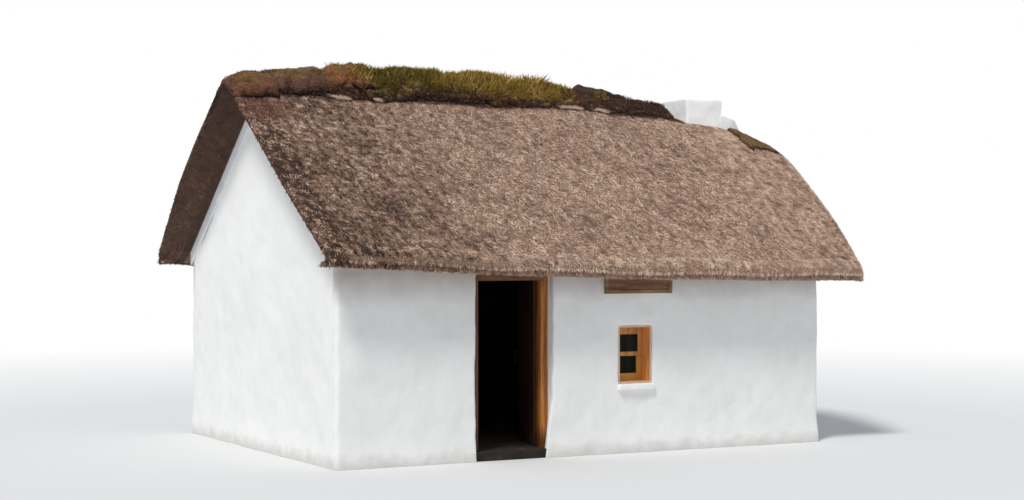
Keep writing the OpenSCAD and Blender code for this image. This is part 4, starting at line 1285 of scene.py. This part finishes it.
def sill(x0, side, node):
    lo = (x0 - sill_over + 0.012, y_front - sill_out + 0.01, window_z - sill_t + 0.006)
    hi = (x0 + window_w + sill_over - 0.012, y_front + sill_in, window_z)
    p, q = lumpy_block(lo, hi, 0.02, 0.016, 0.004, 71)
    mesh = mesh_from(node + "_render", boxed(p * [1, side, 1]), [q[:, ::side]])
    put(mesh, whitewash, [node])


def threshold():
    def shape(p):
        inside = ease((p[:, 1] - post_y1) / (y_front + wall_t - post_y1))
        mid, half = (door_x0 + door_x1) / 2, (door_x1 - door_x0) / 2
        return np.stack([mid + (p[:, 0] - mid) * (1 + inside * splay / half), p[:, 1], p[:, 2]], -1)

    lo = (door_x0 + 0.002, y_front + 0.004, 0)
    hi = (door_x1 - 0.002, y_front + wall_t, floor_t)
    p, q = lumpy_block(lo, hi, 0.035, 0.016, 0.003, 75, 0.14, shape)
    p[:, 2] = np.clip(p[:, 2], 0, floor_t)
    put(mesh_from("threshold_stone", boxed(p), [q]), threshold_painted_shade, ["threshold"])


def chimney():
    """The stack, with the flue's sooty shaft in it"""
    mid_x, flue, half_w = (in_right + x_right) / 2, flue_w / 2, stack_w / 2
    foot, cell, r = 3.6, 0.03, 0.035
    xs = lines(in_right, x_right, cell, *rim(in_right, x_right, r), mid_x - flue, mid_x + flue)
    ys = lines(-half_w, half_w, cell, *rim(-half_w, half_w, r), -flue, flue)
    zs = lines(foot, stack_top, cell, *[stack_top - r * t for t in (0.3, 0.65, 1)])

    def in_flue(m, more=0):
        return (np.abs(m[:, 0] - mid_x) < flue + more) & (np.abs(m[:, 1]) < flue + more)

    shell = Shell()
    shell.plane(1, -half_w, xs, zs, -1)
    shell.plane(1, half_w, xs, zs, 1)
    shell.plane(0, in_right, ys, zs, -1)
    shell.plane(0, x_right, ys, zs, 1)
    shell.plane(2, stack_top, xs, ys, 1, lambda m: ~in_flue(m))
    for side in (-1, 1):
        shell.plane(1, side * flue, span(xs, mid_x - flue, mid_x + flue), zs, -side)
    for side in (-1, 1):
        shell.plane(0, mid_x + side * flue, span(ys, -flue, flue), zs, -side)
    p, q, _, _ = shell.join(1e-5)
    eased, out = rounded(p, (in_right, -half_w, -9), (x_right, half_w, stack_top), r)
    p = np.where((out > 1e-9) & ((p[:, 2:] < stack_top - 1e-6) | (out > r + 1e-6)), eased, p)
    x, y, z = p.T
    on_rim = (np.abs(np.abs(y) - flue) < 0.03) | (np.abs(np.abs(x - mid_x) - flue) < 0.03)
    share = np.where(on_rim & in_flue(p, 0.03) & (z >= stack_top - 0.05), 0.4, 0)
    p = soften(p, q, share, 2)
    p = p + np.stack([0.009 * fbm(p, 0.16, 3, s) for s in (81, 82, 83)], -1) * [1, 1, 0.6]
    p[:, 2] = np.minimum(p[:, 2], stack_top)
    n = normals_of(p, q)
    mid = p[q].mean(1)
    inside = in_flue(mid, 0.01) & (mid[:, 2] < stack_top - 0.05)
    for name, wanted, material, nodes in (("chimney_stack_render", ~inside, whitewash, ["chimney_stack"]),
                                          ("chimney_flue_soot", inside, soot_and_painted_shade, [])):
        used, f = faces_of(q[wanted])
        put(mesh_from(name, boxed(p[used]), [f], n[used]), material, nodes)


def haunch():
    """The mortar that leans on the stack's right side, over the hip"""
    foot = 3.62
    knots_x = (0, haunch_top_l, haunch_l)
    knots_z = haunch_z - np.array([0, 0.07, 0.23])

    def shape(p):
        x, y, z = p.T
        narrow = 0.06 * ease((x - x_right - 0.1) / 0.25)
        peak = np.interp(x - x_right, knots_x, knots_z)
        rise = (z - foot) / (haunch_z - foot)
        return np.stack([x, y * (1 - narrow / (stack_w / 2)), foot + rise * (peak - foot)], -1)

    lo = (x_right - 0.05, -stack_w / 2, foot)
    hi = (x_right + haunch_l, stack_w / 2, haunch_z)
    p, q = lumpy_block(lo, hi, 0.028, 0.02, 0.007, 91, 0.11, shape)
    put(mesh_from("chimney_haunch_mortar", boxed(p), [q]), whitewash, ["chimney_haunch"])


sill(front_window_x, 1, "front_window_sill")
sill(back_window_x, -1, "back_window_sill")
threshold()
chimney()
haunch()


# Door

def door_boards():
    """The leaf's separate boards, modelled shut and then turned open about the hinge"""
    hinge = np.array([door_x1 - 0.045, post_y1 + 0.046])
    open_by = -math.radians(107)
    x0, x1 = door_x0 + 0.05, door_x1 - 0.05
    y0, y1 = post_y1 + 0.006, post_y1 + 0.034
    z0, z1 = floor_t + 0.006, door_h - 0.08 + 0.04
    count, gap = 5, 0.0024
    w = (x1 - x0) / count
    rng = np.random.default_rng(3)
    parts, tones = [], []
    for k in range(count):
        low, high = z0 + rng.uniform(0, 0.003), z1 - rng.uniform(0, 0.003)
        left, right = x0 + k * w + gap / 2, x0 + (k + 1) * w - gap / 2
        parts.append(lumpy_block((left, y0, low), (right, y1, high), 0.06, 0.005, 0.0006, 30 + k))
        tones.append(np.full(len(parts[-1][0]), rng.random()))
    p, faces = merged(parts)
    x, y = (p[:, :2] - hinge).T
    p[:, 0] = hinge[0] + x * math.cos(open_by) - y * math.sin(open_by)
    p[:, 1] = hinge[1] + x * math.sin(open_by) + y * math.cos(open_by)
    mesh = mesh_from("door_leaf_boards", p, faces)
    tone(mesh, np.concatenate(tones))
    put(mesh, door_wood_painted_shade, ["door_boards"], "door")


door_boards()


# CAD pieces that keep their solids, with eased edges

def dress(node, material, width):
    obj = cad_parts[node]
    obj.data.materials.clear()
    obj.data.materials.append(material)
    if width:
        m = obj.modifiers.new("eased", "BEVEL")
        m.width = width
        m.segments = 2
        m.limit_method = "ANGLE"
        m.angle_limit = math.radians(40)
        m.harden_normals = False


for dressed, finish, bevel in (("floor", earth, 0),
                               ("door_lintel ridge_pole", old_along, 0.008),
                               ("door_posts", post_varnish_painted_shade, 0.006),
                               ("door_head", head_varnish_painted_shade, 0.006),
                               ("door_pintles", iron, 0),
                               ("door_ledges", door_wood_painted_shade, 0.004),
                               ("door_straps door_latch", iron, 0.001),
                               ("front_window_frame back_window_frame", frame_wood, 0.004),
                               ("front_window_sashes back_window_sashes", sash_wood, 0.004),
                               ("front_window_glass back_window_glass", glass, 0),
                               ("rafters_front rafters_back collar_ties", old_down, 0.006),
                               ("purlins_front purlins_back wall_plates", old_along, 0.006),
                               ("barge_boards", painted_board, 0.004),
                               ("sign_board", sign_wood, 0.002),
                               ("sign_frame", sign_frame_wood, 0.004)):
    for cad_node in dressed.split():
        dress(cad_node, finish, bevel)


# Floor, light and camera

def stage():
    """A pale floor, which turns to the white of the background far from the house"""
    half, below, fade = 60.0, 0.001, (7, 22)
    corners = np.array([(-half, -half, 0), (half, -half, 0), (half, half, 0), (-half, half, 0)])
    mesh = mesh_from("studio_floor", corners - [0, 0, below], [np.array([[0, 1, 2, 3]])])
    m = Material("studio_floor", 0.9, 0.0)
    m.colour((224, 224, 224))
    white = m.node("ShaderNodeEmission", {"Color": (1, 1, 1, 1)})
    away = m.node("ShaderNodeVectorMath", {0: m.place}, "Value", operation="LENGTH")
    mixed = m.node("ShaderNodeMixShader", {0: away.mask(*fade), 1: Output(m, m.shader), 2: white})
    m.feed(m.tree.nodes["Material Output"].inputs["Surface"], mixed)
    mesh.materials.append(m.material)
    obj = bpy.data.objects.new("studio_floor", mesh)
    bpy.context.scene.collection.objects.link(obj)


def light():
    """Even sky light with a white background, and a soft sun from the front left"""
    world = bpy.data.worlds.new("studio")
    bpy.context.scene.world = world
    world.use_nodes = True
    world.node_tree.nodes.clear()
    w = Tree(world.node_tree)
    rays = w.node("ShaderNodeLightPath", {}).node
    camera_ray, glossy, through = [Output(w, rays, "Is " + kind + " Ray")
                                   for kind in ("Camera", "Glossy", "Transmission")]
    seen = w.math("MAXIMUM", w.math("MAXIMUM", camera_ray, glossy), through)
    lit = w.node("ShaderNodeBackground", {"Color": (0.93, 0.985, 1.06, 1), "Strength": 0.47})
    shown = w.node("ShaderNodeBackground", {"Color": (1, 1, 1, 1)})
    mixed = w.node("ShaderNodeMixShader", {0: seen, 1: lit, 2: shown})
    w.feed(w.tree.nodes.new("ShaderNodeOutputWorld").inputs["Surface"], mixed)
    sun = bpy.data.lights.new("key", "SUN")
    sun.energy = 2.2
    sun.angle = math.radians(12)
    sun.color = (1.0, 0.985, 0.96)
    obj = bpy.data.objects.new("key", sun)
    obj.rotation_euler = Vector((-1.9, -1.3, 3.26)).to_track_quat("Z", "Y").to_euler()
    bpy.context.scene.collection.objects.link(obj)


def camera():
    """The photograph's viewpoint, with the house enlarged in the frame"""
    photo_lens, zoom = 29.18, 2.25
    eye, turn = (-10.829, -20.237, 2.291), -28.41
    data = bpy.data.cameras.new("camera")
    data.sensor_width = 36
    data.sensor_fit = "HORIZONTAL"
    data.lens = photo_lens * zoom
    data.clip_end = 200
    obj = bpy.data.objects.new("camera", data)
    obj.location = eye
    obj.rotation_euler = (math.radians(90), 0, math.radians(turn))
    bpy.context.scene.collection.objects.link(obj)
    bpy.context.scene.camera = obj


stage()
light()
camera()
bpy.context.scene.view_settings.view_transform = "Standard"
